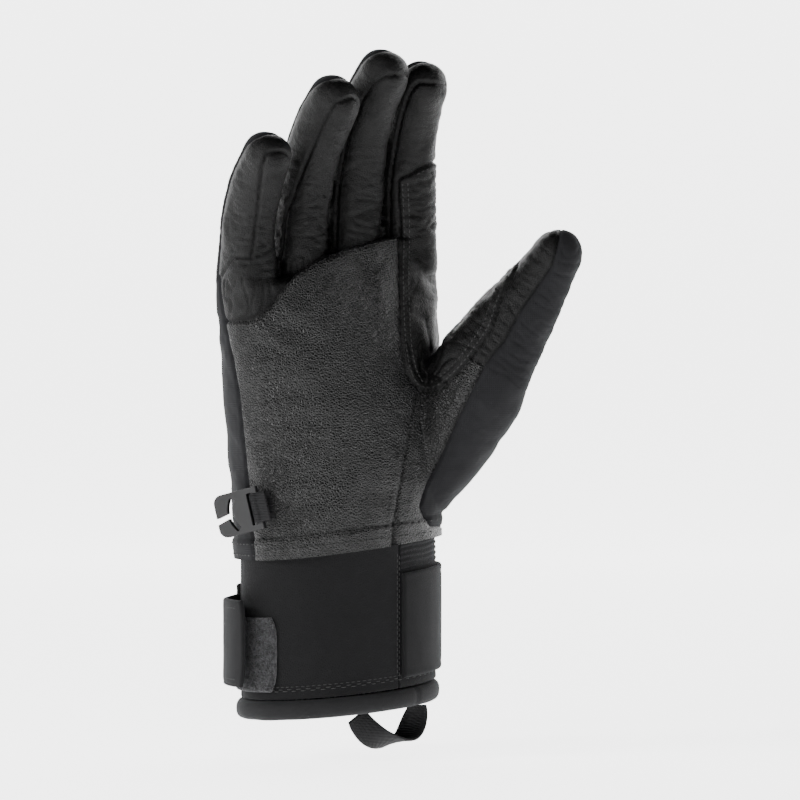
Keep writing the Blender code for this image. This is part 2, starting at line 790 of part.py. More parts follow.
def hang_loop():
    """One tape that hangs from both its ends and turns over once on the way."""
    middle, along, up, out = loop_frame()
    width, thick = LOOP_TAPE
    centres = [middle + along * a + up * drop + out * o for a, drop, o, _ in LOOP_ROUTE]
    rings = []
    for i, station in enumerate(LOOP_ROUTE):
        ahead = centres[min(i + 1, len(centres) - 1)] - centres[max(0, i - 1)]
        ahead.normalize()
        flat = out.cross(ahead).normalized()
        face = ahead.cross(flat)
        turn = math.radians(station[3])
        across = flat * math.cos(turn) + face * math.sin(turn)
        normal = ahead.cross(across)
        rings.append([
            centres[i] + across * (width / 2) * u + normal * (thick / 2) * v
            for u, v in ((-1, -1), (1, -1), (1, 1), (-1, 1))
        ])
    loop = loft_solid("hang_loop", WEBBING, rings)
    work = bmesh.new()
    work.from_mesh(loop.data)
    bmesh.ops.triangulate(work, faces=work.faces)  # the twisted faces are not flat
    work.to_mesh(loop.data)
    work.free()
    return loop


def loop_anchor():
    """The strip inside the hem that holds the tape's ends."""
    grids = []
    for depth in (LOOP_INSET - 0.6, LOOP_INSET + 0.6):
        grids.append([
            [cuff_point(height, degrees, -depth) for degrees in range(-20, 58, 11)]
            for height in (HEM_HEIGHT - 2.5, HEM_HEIGHT + 7.0)
        ])
    return grid_solid("loop_anchor", WEBBING, *grids)


# ---------------------------------------------------------------- glove clip

CLIP_BAR = Vector((-46.0, -14.0, 84.8))
CLIP_OUT = Vector((-0.823, -0.569, 0)).normalized()
CLIP_DROOP = 14  # degrees below level
CLIP_THICK = 2.4


def clip_axes():
    """Towards the hook's end, up along the bar, and out of the plate."""
    level = Vector((0, 0, 1)).cross(CLIP_OUT)
    droop = Matrix.Rotation(math.radians(CLIP_DROOP), 3, CLIP_OUT)
    end = droop @ -level
    if end.z > 0:
        end = droop.inverted() @ -level
    return end, CLIP_OUT.cross(end).normalized(), CLIP_OUT


def clip_place(u, v, w):
    end, up, out = clip_axes()
    if up.z < 0:
        up = -up
    return CLIP_BAR + end * u + up * v + out * w


def clip_prism(name, outline, low, high):
    rings = [[clip_place(u, v, w) for u, v in outline] for w in (low, high)]
    return loft_solid(name, PLASTIC, rings)


def arc(centre, radius, start, stop, count):
    return [
        (centre[0] + radius * math.cos(phi), centre[1] + radius * math.sin(phi))
        for phi in fan(start, stop, count)
    ]


def clip_hook():
    """A flat hook: a window for the webbing, an arched slot and a slanting mouth."""
    half = 8.6
    corner = 3.6
    outline = [(-1.1, -half), (12.5, -half)]
    outline += arc((14.6, -half + corner), corner, -90, 0, 5)
    outline += arc((14.6, half - corner), corner, 0, 90, 5)
    outline += [(-1.1, half)]
    hook = clip_prism("clip_hook", outline, -CLIP_THICK / 2, CLIP_THICK / 2)
    window = [(1.1, -6.4), (3.4, -6.4), (3.4, 6.4), (1.1, 6.4)]
    slot = arc((2.6, 0), 7.4, -46, 40, 8) + arc((2.6, 0), 8.9, 40, -46, 8)
    mouth = [(12.9, -1.3), (20.5, -3.4), (20.5, -0.9), (12.9, 0.7)]
    for name, cut in (("window", window), ("slot", slot), ("mouth", mouth)):
        add_boolean(hook, cutter(clip_prism("cutter_" + name, cut, -5, 5)), "DIFFERENCE")
    return hook


def clip_webbing():
    """A loop of webbing from the side seam round the hook's bar."""
    half, thick, room = 5.9, 1.0, 1.75
    path = [(-3.6, -1.9)] + [
        (room * math.cos(phi), room * math.sin(phi)) for phi in fan(-120, 120, 9)
    ] + [(-3.6, 1.9)]
    outer, inner = [], []
    for i, (u, w) in enumerate(path):
        before, after = path[max(0, i - 1)], path[min(i + 1, len(path) - 1)]
        ahead = Vector((after[0] - before[0], after[1] - before[1])).normalized()
        side = Vector((ahead.y, -ahead.x))
        outer.append([clip_place(u + side.x * thick, v, w + side.y * thick) for v in (-half, half)])
        inner.append([clip_place(u, v, w) for v in (-half, half)])
    return grid_solid("clip_webbing", WEBBING, outer, inner)


# ---------------------------------------------------------------- the glove


def main():
    clear_scene()
    build_hand()
    build_hand_trim()
    for digit in DIGITS:
        build_digit(digit)
    build_cuff()
    hang_loop()
    loop_anchor()
    clip_hook()
    clip_webbing()


main()
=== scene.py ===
"""The full-detail look of a right-hand ski glove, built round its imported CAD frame.

The leather and softshell skin is one surface that is remeshed, labelled with its sewn panels, given
seams, puffiness and wrinkles, and then split into a piece for each panel and moving part. Lengths
are in millimetres until they reach Blender. An oblique view of the glove, square to the thumb's
palm face, is used to lay out seams: u runs to the right in that view, and z is height.
"""

import math

import bmesh
import bpy
import numpy as np
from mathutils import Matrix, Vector, kdtree, noise
from mathutils.bvhtree import BVHTree

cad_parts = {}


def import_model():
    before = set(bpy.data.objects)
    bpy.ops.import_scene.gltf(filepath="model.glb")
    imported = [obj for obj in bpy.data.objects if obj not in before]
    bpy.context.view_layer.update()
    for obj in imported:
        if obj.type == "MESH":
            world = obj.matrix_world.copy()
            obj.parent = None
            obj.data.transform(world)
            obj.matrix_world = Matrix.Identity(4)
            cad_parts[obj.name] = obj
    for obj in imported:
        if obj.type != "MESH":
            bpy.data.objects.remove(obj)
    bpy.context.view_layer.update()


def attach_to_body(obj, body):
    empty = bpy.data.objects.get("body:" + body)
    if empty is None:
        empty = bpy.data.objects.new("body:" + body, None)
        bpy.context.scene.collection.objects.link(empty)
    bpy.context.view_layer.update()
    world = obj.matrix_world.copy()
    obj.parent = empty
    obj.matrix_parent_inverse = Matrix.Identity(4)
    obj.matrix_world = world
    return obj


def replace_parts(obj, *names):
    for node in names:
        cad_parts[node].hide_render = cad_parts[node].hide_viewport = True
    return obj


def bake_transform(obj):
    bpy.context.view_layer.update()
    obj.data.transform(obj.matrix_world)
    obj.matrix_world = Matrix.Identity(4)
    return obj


MM = 0.001

# ---------------------------------------------------------------- shape

VIEW_AZIMUTH = -33.0
VIEW_RIGHT = np.array([math.cos(math.radians(VIEW_AZIMUTH)), math.sin(math.radians(VIEW_AZIMUTH)), 0])
VIEW_BACK = np.array([math.sin(math.radians(VIEW_AZIMUTH)), -math.cos(math.radians(VIEW_AZIMUTH)), 0])

# Hand: height, centre x, half width, half depth.
HAND_SECTIONS = (
    (60, -0.1, 42.6, 29.2),
    (70, -0.2, 43.2, 29.2),
    (82, -0.4, 44.2, 28.4),
    (100, -1.2, 45.8, 27.0),
    (122, -2.4, 47.4, 25.0),
    (146, -4.0, 48.4, 22.5),
    (166, -4.6, 49.0, 19.6),
    (182, -4.6, 48.8, 16.4),
    (196, -4.6, 48.4, 14.0),
)
HAND_SQUARENESS = 2.4
HAND_TOP = ((-60, 169), (-32, 175), (-7, 187), (18.5, 193.5), (50, 195))  # crotch line, x and z

THUMB_ROOT_SECTIONS = (
    ((34.0, -5.0, 88.0), 26, 28),
    ((39.0, -11.0, 102.0), 33, 32),
    ((44.0, -19.0, 118.0), 38, 33),
    ((48.5, -26.0, 131.0), 39, 32),
    ((51.6, -29.5, 141.0), 38, 30),
)

DIGITS = {  # root, direction, palmward, length, curl, power, widths, depths, end cap, first segment
    "little": ((-43.6, -1.2, 175.5), (-0.030, -0.03, 1), (0, -1, 0), 61.5, 60, 1.5,
               (21.2, 18.8), (26.0, 20.5), 9, 20),
    "ring": ((-19.8, 0.4, 184.5), (0.045, -0.06, 1), (0, -1, 0), 78, 58, 1.5,
             (23.4, 20.4), (27.5, 21.5), 10, 22),
    "middle": ((5.6, 0.8, 191.5), (0.005, -0.04, 1), (0, -1, 0), 82, 54, 1.5,
               (24.0, 20.8), (27.5, 21.5), 10, 24),
    "index": ((31.2, 0.2, 193.5), (-0.045, -0.04, 1), (0, -1, 0), 74, 46, 1.5,
              (23.8, 20.8), (27.0, 21.0), 10, 22),
    "thumb": ((51.6, -29.5, 141.0), (0.445, -0.312, 0.84), (-0.545, -0.839, 0.0), 64, 20, 1.6,
              (38.0, 20.5), (30.0, 21.0), 13, 19),
}
LITTLE, INDEX, THUMB = 0, 3, 4  # places in DIGITS
BEND_LENGTH = 18  # how much of a finger turns at each joint; the blend ends it gives are not used

VOXEL = 0.8
CLOTH_CELL = 3.4
CLOTH_FRAMES = 20
PUFF_LIMIT = 0.9
SKIN_SMOOTHING = 18

# Seams in the oblique view, as u and z.
PALM_TOP_SEAM = ((-60, 157), (-42.4, 158.4), (-35, 158.6), (-29.2, 161), (-24, 167.5), (-17.2, 177.2),
                 (-5.2, 185.2), (9.6, 190.4), (24.8, 194.4))
BALL_SEAM = ((21, 55), (22, 76.8), (26.8, 105.2), (32, 130.4))
OUTER_SEAM = ((60, 60), (50, 74.2), (37, 76.6), (33.2, 84.4), (36, 93.6), (40.4, 102.8), (49.6, 122.8),
              (58.8, 141.2), (66.8, 150.8), (74.4, 164.4), (82, 175.2), (86, 181.2), (88, 189.2),
              (89.6, 198.4), (90, 206))
WEB_OUTLINE = ((24, 216.4), (24.8, 196), (24.4, 176.8), (25.2, 153.6), (27.0, 141), (29.4, 134.5),
               (33.4, 131.0), (40.4, 131.6), (49.6, 139.4), (57.6, 149.8), (62, 156.8), (66, 168.4),
               (71.2, 180), (74.5, 189), (75.2, 240), (50, 240), (44, 227), (38.8, 224), (29.6, 219.2))
FINGER_SEAMS = {  # between palm and sidewall, on the side that the oblique view shows, and over the tip
    "little": ((-12, 229.5), (-21.2, 229), (-26.5, 225), (-29.5, 218), (-31, 202.4), (-33, 186),
               (-36.4, 176.2), (-42.4, 172.4), (-60, 171)),
    "ring": ((20, 247.4), (7.6, 247.2), (0, 244), (-5.2, 236), (-13.2, 220), (-20.4, 202.4),
             (-22.5, 192), (-24, 176)),
    "middle": ((40, 256.4), (26, 256.4), (20, 256), (13.6, 252), (9.6, 247), (3, 231), (-3, 200)),
    "index": ((50, 254.6), (40, 254.4), (30.8, 254.4), (26, 252.8), (20, 249), (14, 200)),
}
PALM_EDGE, BACK_EDGE = 0.47, -0.44  # finger seams, as a share of half the finger's depth

FACING = -0.15  # what the oblique view sees, as the least cosine to it
SMALLEST_PANEL = 300  # triangles; smaller islands join a neighbour
PANELS = ("palm", "root", "ball", "web", "leaf", "side", "back")
PALM, ROOT, BALL, WEB, LEAF, SIDE, BACK = range(7)


def unit(v):
    v = np.asarray(v, float)
    return v / np.linalg.norm(v)


def signed_power(value, exponent):
    return np.sign(value) * np.abs(value) ** exponent


def smoothstep(value):
    value = np.clip(value, 0, 1)
    return value * value * (3 - 2 * value)


class Digit:
    """A tapered tube along a line that curls towards the palm, as in the CAD."""

    def __init__(self, name, root, along, palmward, length, curl, power, widths, depths, cap, cut):
        self.name, self.cut = name, cut
        self.along = unit(along)
        palmward = np.asarray(palmward, float)
        self.palmward = unit(palmward - self.along * (palmward @ self.along))
        self.across = np.cross(self.along, self.palmward)
        self.root = np.asarray(root, float)
        self.cap, self.shoulder = cap, length - cap
        self.widths, self.depths = widths, depths
        self.step = 0.5
        self.s = np.arange(-16, self.shoulder + 0.01, self.step)
        self.turn = math.radians(curl) * np.clip(self.s / length, 0, None) ** power
        cos, sin = np.cos(self.turn)[:, None], np.sin(self.turn)[:, None]
        self.tangents = cos * self.along + sin * self.palmward
        self.palmwards = cos * self.palmward - sin * self.along
        steps = np.cumsum(self.tangents, axis=0) * self.step
        zero = np.argmin(np.abs(self.s))
        self.centres = self.root + steps - steps[zero]

    def at(self, s):
        i = int(np.clip(round((s - self.s[0]) / self.step), 0, len(self.s) - 1))
        return self.centres[i], self.tangents[i], self.palmwards[i]

    def half_sizes(self, s):
        share = np.clip(np.asarray(s, float) / self.shoulder, 0, 1)
        return (
            (self.widths[0] + (self.widths[1] - self.widths[0]) * share) / 2,
            (self.depths[0] + (self.depths[1] - self.depths[0]) * share) / 2,
        )

    def coordinates(self, points):
        """Distance from the root, and side and height as shares of the half sizes."""
        best = np.full(len(points), np.inf)
        where = np.zeros(len(points), int)
        for i in range(0, len(self.s), 4):
            gap = ((points - self.centres[i]) ** 2).sum(axis=1)
            closer = gap < best
            best[closer], where[closer] = gap[closer], i
        offset = points - self.centres[where]
        ahead = (offset * self.tangents[where]).sum(axis=1)
        fine = np.clip(where + np.round(ahead / self.step).astype(int), 0, len(self.s) - 1)
        offset = points - self.centres[fine]
        s = self.s[fine] + (offset * self.tangents[fine]).sum(axis=1)
        half_width, half_depth = self.half_sizes(s)
        side = (offset @ self.across) / half_width
        height = (offset * self.palmwards[fine]).sum(axis=1) / half_depth
        return s, side, height


# ---------------------------------------------------------------- mesh helpers


def object_from(name, points, faces):
    mesh = bpy.data.meshes.new(name)
    mesh.from_pydata([tuple(float(c) * MM for c in p) for p in points], [], faces)
    obj = bpy.data.objects.new(name, mesh)
    bpy.context.scene.collection.objects.link(obj)
    return obj


def triangles_object(name, points, triangles):
    """A mesh object from arrays, keeping only the points that the triangles use."""
    used, index = np.unique(triangles, return_inverse=True)
    triangles = index.reshape(-1, 3)
    mesh = bpy.data.meshes.new(name)
    mesh.vertices.add(len(used))
    mesh.vertices.foreach_set("co", (points[used] * MM).ravel())
    mesh.loops.add(triangles.size)
    mesh.loops.foreach_set("vertex_index", triangles.ravel().astype(np.int32))
    mesh.polygons.add(len(triangles))
    mesh.polygons.foreach_set("loop_start", np.arange(0, triangles.size, 3, dtype=np.int32))
    mesh.update(calc_edges=True)
    mesh.validate()
    mesh.shade_smooth()
    obj = bpy.data.objects.new(name, mesh)
    bpy.context.scene.collection.objects.link(obj)
    return obj, used


def ring_faces(first, rings, count):
    """Four-sided faces between rings of count points, whose first point has the number first."""
    faces = []
    for ring in range(rings - 1):
        for k in range(count):
            a, b = first + ring * count + k, first + ring * count + (k + 1) % count
            faces.append((a, b, b + count, a + count))
    return faces


def loft(name, rings, close_start=True):
    """A tube through rings of points."""
    count = len(rings[0])
    points = [p for ring in rings for p in ring]
    faces = ring_faces(0, len(rings), count)
    if close_start:
        faces.append(tuple(range(count))[::-1])
    last = (len(rings) - 1) * count
    faces.append(tuple(last + j for j in range(count)))
    return object_from(name, points, faces)


def finish_mesh(obj):
    """Joins coincident points and turns the faces outwards."""
    work = bmesh.new()
    work.from_mesh(obj.data)
    bmesh.ops.remove_doubles(work, verts=work.verts, dist=1e-6)
    bmesh.ops.recalc_face_normals(work, faces=work.faces)
    work.to_mesh(obj.data)
    work.free()
    obj.data.shade_smooth()
    return obj


def add_modifier(obj, kind, **values):
    modifier = obj.modifiers.new(kind.title(), kind)
    for name, value in values.items():
        setattr(modifier, name, value)
    return modifier


def apply_modifiers(obj):
    graph = bpy.context.evaluated_depsgraph_get()
    graph.update()
    mesh = bpy.data.meshes.new_from_object(obj.evaluated_get(graph))
    obj.modifiers.clear()
    old = obj.data
    obj.data = mesh
    bpy.data.meshes.remove(old)


def points_of(mesh):
    co = np.empty(len(mesh.vertices) * 3, np.float32)
    mesh.vertices.foreach_get("co", co)
    return co.reshape(-1, 3).astype(float) / MM


def normals_of(points, triangles):
    corners = points[triangles]
    face = np.cross(corners[:, 1] - corners[:, 0], corners[:, 2] - corners[:, 0])
    normals = np.zeros_like(points)
    for k in range(3):
        np.add.at(normals, triangles[:, k], face)
    return normals / np.maximum(np.linalg.norm(normals, axis=1, keepdims=True), 1e-12)


def edges_of(triangles):
    ends = np.concatenate([triangles[:, [0, 1]], triangles[:, [1, 2]], triangles[:, [2, 0]]])
    return np.unique(np.sort(ends, axis=1), axis=0)


def shared_edges(triangles):
    """Edges between two triangles: their ends, and the two triangles."""
    ends = np.concatenate([triangles[:, [0, 1]], triangles[:, [1, 2]], triangles[:, [2, 0]]])
    owner = np.tile(np.arange(len(triangles)), 3)
    ends = np.sort(ends, axis=1)
    order = np.lexsort((ends[:, 1], ends[:, 0]))
    ends, owner = ends[order], owner[order]
    same = (ends[1:] == ends[:-1]).all(axis=1)
    return ends[:-1][same], owner[:-1][same], owner[1:][same]


def zero_crossings(field, edges, where=None):
    """Edges that a field's zero line crosses: the near end, the far end, and the share to the line."""
    a, b = edges.T
    crosses = field[a] * field[b] < 0
    if where is not None:
        crosses &= where[a] & where[b]
    a, b = a[crosses], b[crosses]
    share = field[a] / (field[a] - field[b])
    swap = share > 0.5
    return np.where(swap, b, a), np.where(swap, a, b), np.where(swap, 1 - share, share)


def tree_of(points):
    """A search tree for the nearest of the points."""
    tree = kdtree.KDTree(len(points))
    for i, point in enumerate(points):
        tree.insert(point, i)
    tree.balance()
    return tree


def distance_to_line(u, z, line, closed=False):
    """Signed distance to a line through points: positive on its left, or inside a closed one."""
    points = np.asarray(line, float)
    if closed:
        points = np.vstack([points, points[:1]])
    best = np.full(len(u), np.inf)
    sign = np.ones(len(u))
    for start, end in zip(points, points[1:]):
        run = end - start
        t = np.clip(((u - start[0]) * run[0] + (z - start[1]) * run[1]) / (run @ run), 0, 1)
        du, dz = u - start[0] - run[0] * t, z - start[1] - run[1] * t
        gap = np.hypot(du, dz)
        side = run[0] * (z - start[1]) - run[1] * (u - start[0])
        closer = gap < best - 1e-9
        best[closer] = gap[closer]
        sign[closer] = np.sign(side[closer])
    if closed:
        sign = np.where(inside(u, z, line), 1.0, -1.0)
    return best * sign


def inside(u, z, outline):
    points = np.asarray(outline, float)
    hit = np.zeros(len(u), bool)
    for start, end in zip(points, np.roll(points, -1, axis=0)):
        spans = (start[1] > z) != (end[1] > z)
        with np.errstate(divide="ignore", invalid="ignore"):
            at = start[0] + (z - start[1]) * (end[0] - start[0]) / (end[1] - start[1])
        hit ^= spans & (u < at)
    return hit


def curve_through(points, spacing):
    """A smooth line through points, resampled at an even spacing."""
    points = [Vector(p) for p in points]
    dense = []
    for i in range(len(points) - 1):
        p0, p1 = points[max(0, i - 1)], points[i]
        p2, p3 = points[i + 1], points[min(i + 2, len(points) - 1)]
        for k in range(12):
            t = k / 12
            dense.append(0.5 * ((2 * p1) + (p2 - p0) * t + (2 * p0 - 5 * p1 + 4 * p2 - p3) * t * t
                                + (3 * p1 - p0 - 3 * p2 + p3) * t ** 3))
    dense.append(points[-1])
    return resample(dense, spacing)


def resample(points, spacing):
    points = np.array([tuple(p) for p in points], float)
    steps = np.linalg.norm(np.diff(points, axis=0), axis=1)
    total = np.concatenate([[0], np.cumsum(steps)])
    count = max(2, int(round(total[-1] / spacing)) + 1)
    at = np.linspace(0, total[-1], count)
    return np.stack([np.interp(at, total, points[:, k]) for k in range(points.shape[1])], axis=1)


# ---------------------------------------------------------------- skin


def oval(centre, across, up, half_width, half_depth, squareness, count=40):
    angles = np.linspace(0, 2 * math.pi, count, endpoint=False)
    exponent = 2 / squareness
    side = half_width * signed_power(np.sin(angles), exponent)
    height = half_depth * signed_power(np.cos(angles), exponent)
    return np.asarray(centre) + side[:, None] * across + height[:, None] * up


def digit_solid(digit):
    rings = []
    for s in np.arange(-14, digit.shoulder, 1.5):
        centre, _, palmward = digit.at(s)
        half_width, half_depth = digit.half_sizes(s)
        squareness = 2.5 - 0.5 * max(0.0, s) / digit.shoulder
        rings.append(oval(centre, digit.across, palmward, half_width, half_depth, squareness))
    centre, tangent, palmward = digit.at(digit.shoulder)
    half_width, half_depth = digit.half_sizes(digit.shoulder)
    for rise in np.radians(np.linspace(0, 86, 9)):
        middle = centre + tangent * digit.cap * math.sin(rise)
        shrink = math.cos(rise)
        rings.append(oval(middle, digit.across, palmward, half_width * shrink, half_depth * shrink, 2))
    return loft("solid_" + digit.name, rings)


def hand_section(height):
    """The hand's centre x, half width and half depth at a height."""
    heights = [row[0] for row in HAND_SECTIONS]
    return [np.interp(height, heights, [row[k] for row in HAND_SECTIONS]) for k in (1, 2, 3)]


def hand_solid():
    top_x, top_z = zip(*HAND_TOP)
    across, palmward = np.array([1.0, 0, 0]), np.array([0, -1.0, 0])
    rings = []
    for share in np.linspace(0, 1, 30):
        height = 60 + share * 136
        centre_x, half_width, half_depth = hand_section(height)
        ring = oval((centre_x, 0, height), across, palmward, half_width, half_depth,
                    HAND_SQUARENESS, 72)
        ring[:, 2] = np.minimum(ring[:, 2], np.interp(ring[:, 0], top_x, top_z) - (1 - share))
        rings.append(ring)
    return loft("solid_hand", rings)


def thumb_root_solid(thumb):
    centres = [np.array(row[0]) for row in THUMB_ROOT_SECTIONS]
    centres.append(thumb.at(8)[0])
    sizes = [(row[1] / 2, row[2] / 2) for row in THUMB_ROOT_SECTIONS]
    sizes.append(thumb.half_sizes(8))
    rings = []
    for i, (centre, (half_width, half_depth)) in enumerate(zip(centres, sizes)):
        before, after = centres[max(0, i - 1)], centres[min(i + 1, len(centres) - 1)]
        along = unit(after - before)
        palmward = unit(thumb.palmward - along * (thumb.palmward @ along))
        across = np.cross(along, palmward)
        rings.append(oval(centre, across, palmward, half_width, half_depth, 2.1))
    return loft("solid_thumb_root", rings)


def build_skin(digits):
    """One closed surface over the hand and its digits, as points and triangles."""
    solids = [hand_solid(), thumb_root_solid(digits["thumb"])]
    solids += [digit_solid(digit) for digit in digits.values()]
    points, faces = [], []
    for solid in solids:
        finish_mesh(solid)
        start = len(points)
        points += list(points_of(solid.data))
        faces += [tuple(start + i for i in face.vertices) for face in solid.data.polygons]
        bpy.data.objects.remove(solid)
    skin = object_from("skin", points, faces)
    add_modifier(skin, "REMESH", mode="VOXEL", voxel_size=VOXEL * MM)
    add_modifier(skin, "SMOOTH", factor=0.5, iterations=SKIN_SMOOTHING)
    add_modifier(skin, "TRIANGULATE")
    apply_modifiers(skin)
    points = points_of(skin.data)
    triangles = np.empty(len(skin.data.polygons) * 3, np.int32)
    skin.data.polygons.foreach_get("vertices", triangles)
    add_modifier(skin, "REMESH", mode="VOXEL", voxel_size=CLOTH_CELL * MM)
    apply_modifiers(skin)
    skin.name = "cloth"
    return points, triangles.reshape(-1, 3), skin


class Skin:
    """The glove's surface with what is known at each point."""

    def __init__(self, digits):
        self.digits = list(digits.values())
        self.points, self.triangles, self.cloth = build_skin(digits)
        self.edges = edges_of(self.triangles)
        self.locate()

    def locate(self):
        """Digit coordinates and the fields whose zero lines are seams."""
        points = self.points
        self.u = points @ VIEW_RIGHT
        self.z = points[:, 2].copy()
        count = len(points)
        self.s = np.full(count, -99.0)
        self.side = np.zeros(count)
        self.height = np.zeros(count)
        self.digit = np.full(count, -1)
        best = np.full(count, 1.28)
        for i, digit in enumerate(self.digits):
            s, side, height = digit.coordinates(points)
            across = np.hypot(side, height)
            mine = (s > 0) & (across < best)
            mine |= (s > digit.shoulder - 2) & (across < 1.5) & (best == 1.28)
            self.s[mine], self.side[mine], self.height[mine] = s[mine], side[mine], height[mine]
            self.digit[mine], best[mine] = i, np.minimum(across, 1.27)[mine]
            if digit.name == "thumb":
                self.thumb_s, self.thumb_side, self.thumb_height = s, side, height
        self.normals = normals_of(points, self.triangles)
        self.fields()

    def fields(self):
        """Fields that change sign at a seam or a bend. front is positive on the palm side."""
        u, z, y, x = self.u, self.z, self.points[:, 1], self.points[:, 0]
        self.facing = self.normals @ VIEW_BACK
        split = np.interp(z, (60, 130, 178), (-5.5, -5.0, 2.5))
        split = np.where(x > 20, np.interp(z, (122, 146), (4.0, 9.0)), split)
        front = split - y
        half_depth = 14.5
        near_thumb = (self.thumb_s > -46) & (x > 22)
        behind = (self.thumb_height - BACK_EDGE) * half_depth + 40 * np.clip(-0.8 - self.thumb_side, 0, 1)
        front = np.where(near_thumb & (self.digit != INDEX), np.minimum(front, behind), front)
        depth = np.ones(len(u)) * 13
        for i, digit in enumerate(self.digits):
            mine = self.digit == i
            depth[mine] = digit.half_sizes(self.s[mine])[1]
        self.front = np.where(self.digit >= 0, (self.height - BACK_EDGE) * depth, front)
        self.outer = distance_to_line(u, z, OUTER_SEAM)
        self.ball = distance_to_line(u, z, BALL_SEAM)
        self.top = -distance_to_line(u, z, PALM_TOP_SEAM)
        self.web = distance_to_line(u, z, WEB_OUTLINE, closed=True)
        self.palm = (self.height - PALM_EDGE) * depth
        for i, digit in enumerate(self.digits[:THUMB]):
            mine = (self.digit == i) & (self.height > -0.3)
            line = distance_to_line(u, z, FINGER_SEAMS[digit.name])
            self.palm[mine] = np.minimum(self.palm, line)[mine]
        lift = np.interp(self.height, (BACK_EDGE, PALM_EDGE), (-3, 9))
        cuts = np.array([digit.cut for digit in self.digits])
        self.bend = np.where(self.digit >= 0, self.s - cuts[self.digit], -50.0)
        self.side_end = self.s - np.where((self.digit == LITTLE) & (self.side < 0), lift, 0.5)

    FIELDS = ("front", "outer", "ball", "top", "web", "palm", "side_end", "bend")

    def snap(self, name, where):
        """Moves the points nearest a field's zero line onto it, so that panels end cleanly."""
        field = getattr(self, name)
        near, far, share = zero_crossings(field, self.edges, where)
        order = np.argsort(-share)
        near, far, share = near[order], far[order], share[order]
        moved, last = np.unique(near[::-1], return_index=True)
        last = len(near) - 1 - last
        far, share = far[last], share[last]
        self.points[moved] += (self.points[far] - self.points[moved]) * share[:, None]
        for other in self.FIELDS:
            values = getattr(self, other)
            values[moved] += (values[far] - values[moved]) * share
        field[moved] = 0.0

    def label(self):
        """The panel of each triangle."""
        self.snap_seams()
        tri = self.triangles
        mean = {name: getattr(self, name)[tri].sum(axis=1) for name in self.FIELDS}
        digit = np.sort(self.digit[tri], axis=1)[:, 1]
        facing = self.facing[tri].mean(axis=1) > FACING
        height = self.z[tri].mean(axis=1)
        thumb_side = self.thumb_side[tri].mean(axis=1)
        thumb, finger = digit == THUMB, (digit >= 0) & (digit < THUMB)
        hand = digit < 0

        front = mean["front"] > 0
        panel = np.full(len(tri), BACK)
        leather = front & (finger | ~facing | (mean["outer"] > 0))
        panel[leather & hand] = ROOT
        panel[leather & hand & (mean["top"] > 0)] = PALM
        panel[leather & hand & (mean["top"] > 0) & (mean["ball"] < 0) & (height < 160)] = BALL
        fingers = leather & finger
        panel[fingers & (mean["palm"] > 0)] = ROOT
        panel[fingers & (mean["palm"] < 0)] = SIDE
        little_foot = (digit == LITTLE) & (mean["palm"] < 0) & (mean["side_end"] < 0)
        panel[fingers & little_foot] = ROOT
        panel[leather & thumb] = LEAF
        web = (mean["web"] > 0) & facing
        side, u = self.side[tri].mean(axis=1), self.u[tri].mean(axis=1)
        hidden_web = (digit == INDEX) & (height < 224) & (side > 0)
        hidden_web |= thumb & (thumb_side < 0)
        hidden_web |= hand & (height > 135) & (u > 25)
        hidden_web &= ~facing
        near_palm = (finger | hand) & (mean["top"] > 0) & (height < 205) & facing
        panel[leather & finger & near_palm & (digit > 0)] = PALM
        panel[leather & (web | hidden_web) & ((digit == INDEX) | hand | thumb)] = WEB
        self.panel = tidy_labels(tri, panel, SMALLEST_PANEL)
        self.tri_digit = digit
        self.normals = normals_of(self.points, self.triangles)

    def snap_seams(self):
        """Moves points onto the seams, each field only where its seam runs."""
        on_digit = self.digit >= 0
        on_thumb = self.digit == THUMB
        on_finger = on_digit & ~on_thumb
        facing = self.facing > FACING
        hand_or_thumb = ~on_finger
        self.snap("bend", on_digit)
        self.snap("front", np.ones(len(self.points), bool))
        self.snap("outer", hand_or_thumb & facing)
        index = (self.digit == INDEX) | ~on_digit | on_thumb
        self.snap("web", index & facing)
        self.snap("top", ~on_thumb & facing & (self.u < 27))
        self.snap("ball", ~on_digit & facing & (self.z < 134))
        self.snap("palm", on_finger)
        self.snap("side_end", (self.digit == LITTLE) & (self.side < 0) & (self.palm < 1))

    def boundary(self):
        """Edges between two panels, as ends and the two panels."""
        ends, first, second = shared_edges(self.triangles)
        pair = np.sort(np.stack([self.panel[first], self.panel[second]], axis=1), axis=1)
        differ = pair[:, 0] != pair[:, 1]
        return ends[differ], pair[differ]


# ---------------------------------------------------------------- camera and stage

TARGET_RIGHT, TARGET_HEIGHT = 24.8, 127.2
CAMERA_DISTANCE = 1500.0
VIEW_WIDTH = 323.0  # what the camera sees at the glove
SENSOR = 36.0
FLOOR_LEVEL, FLOOR_NEAR, FLOOR_GLOW = -16.5, -3500, 3.4
BACKDROP_HALF_WIDTH, BACKDROP_START, BACKDROP_BEND, BACKDROP_TOP = 6000, 1900, 900, 2600
SKY_EDGE, SKY_LIGHT = (0.11, 0.2), (0.4, 0.03)  # height of a direction, brightness below and above
LIGHTS = (  # name, place from the target, size, power
    ("key", (-1190, 170, 420), 330, 15),
    ("near_key", (-1150, -420, 420), 400, 7),
    ("front", (-500, -1100, 700), 350, 1.8),
    ("side", (1000, 100, 500), 400, 1.5),
)


def build_stage():
    target = VIEW_RIGHT * TARGET_RIGHT + np.array([0, 0, TARGET_HEIGHT])
    build_camera(target)
    build_backdrop(target)
    build_sky()
    for name, offset, size, power in LIGHTS:
        add_light(name, offset, target, size, power)


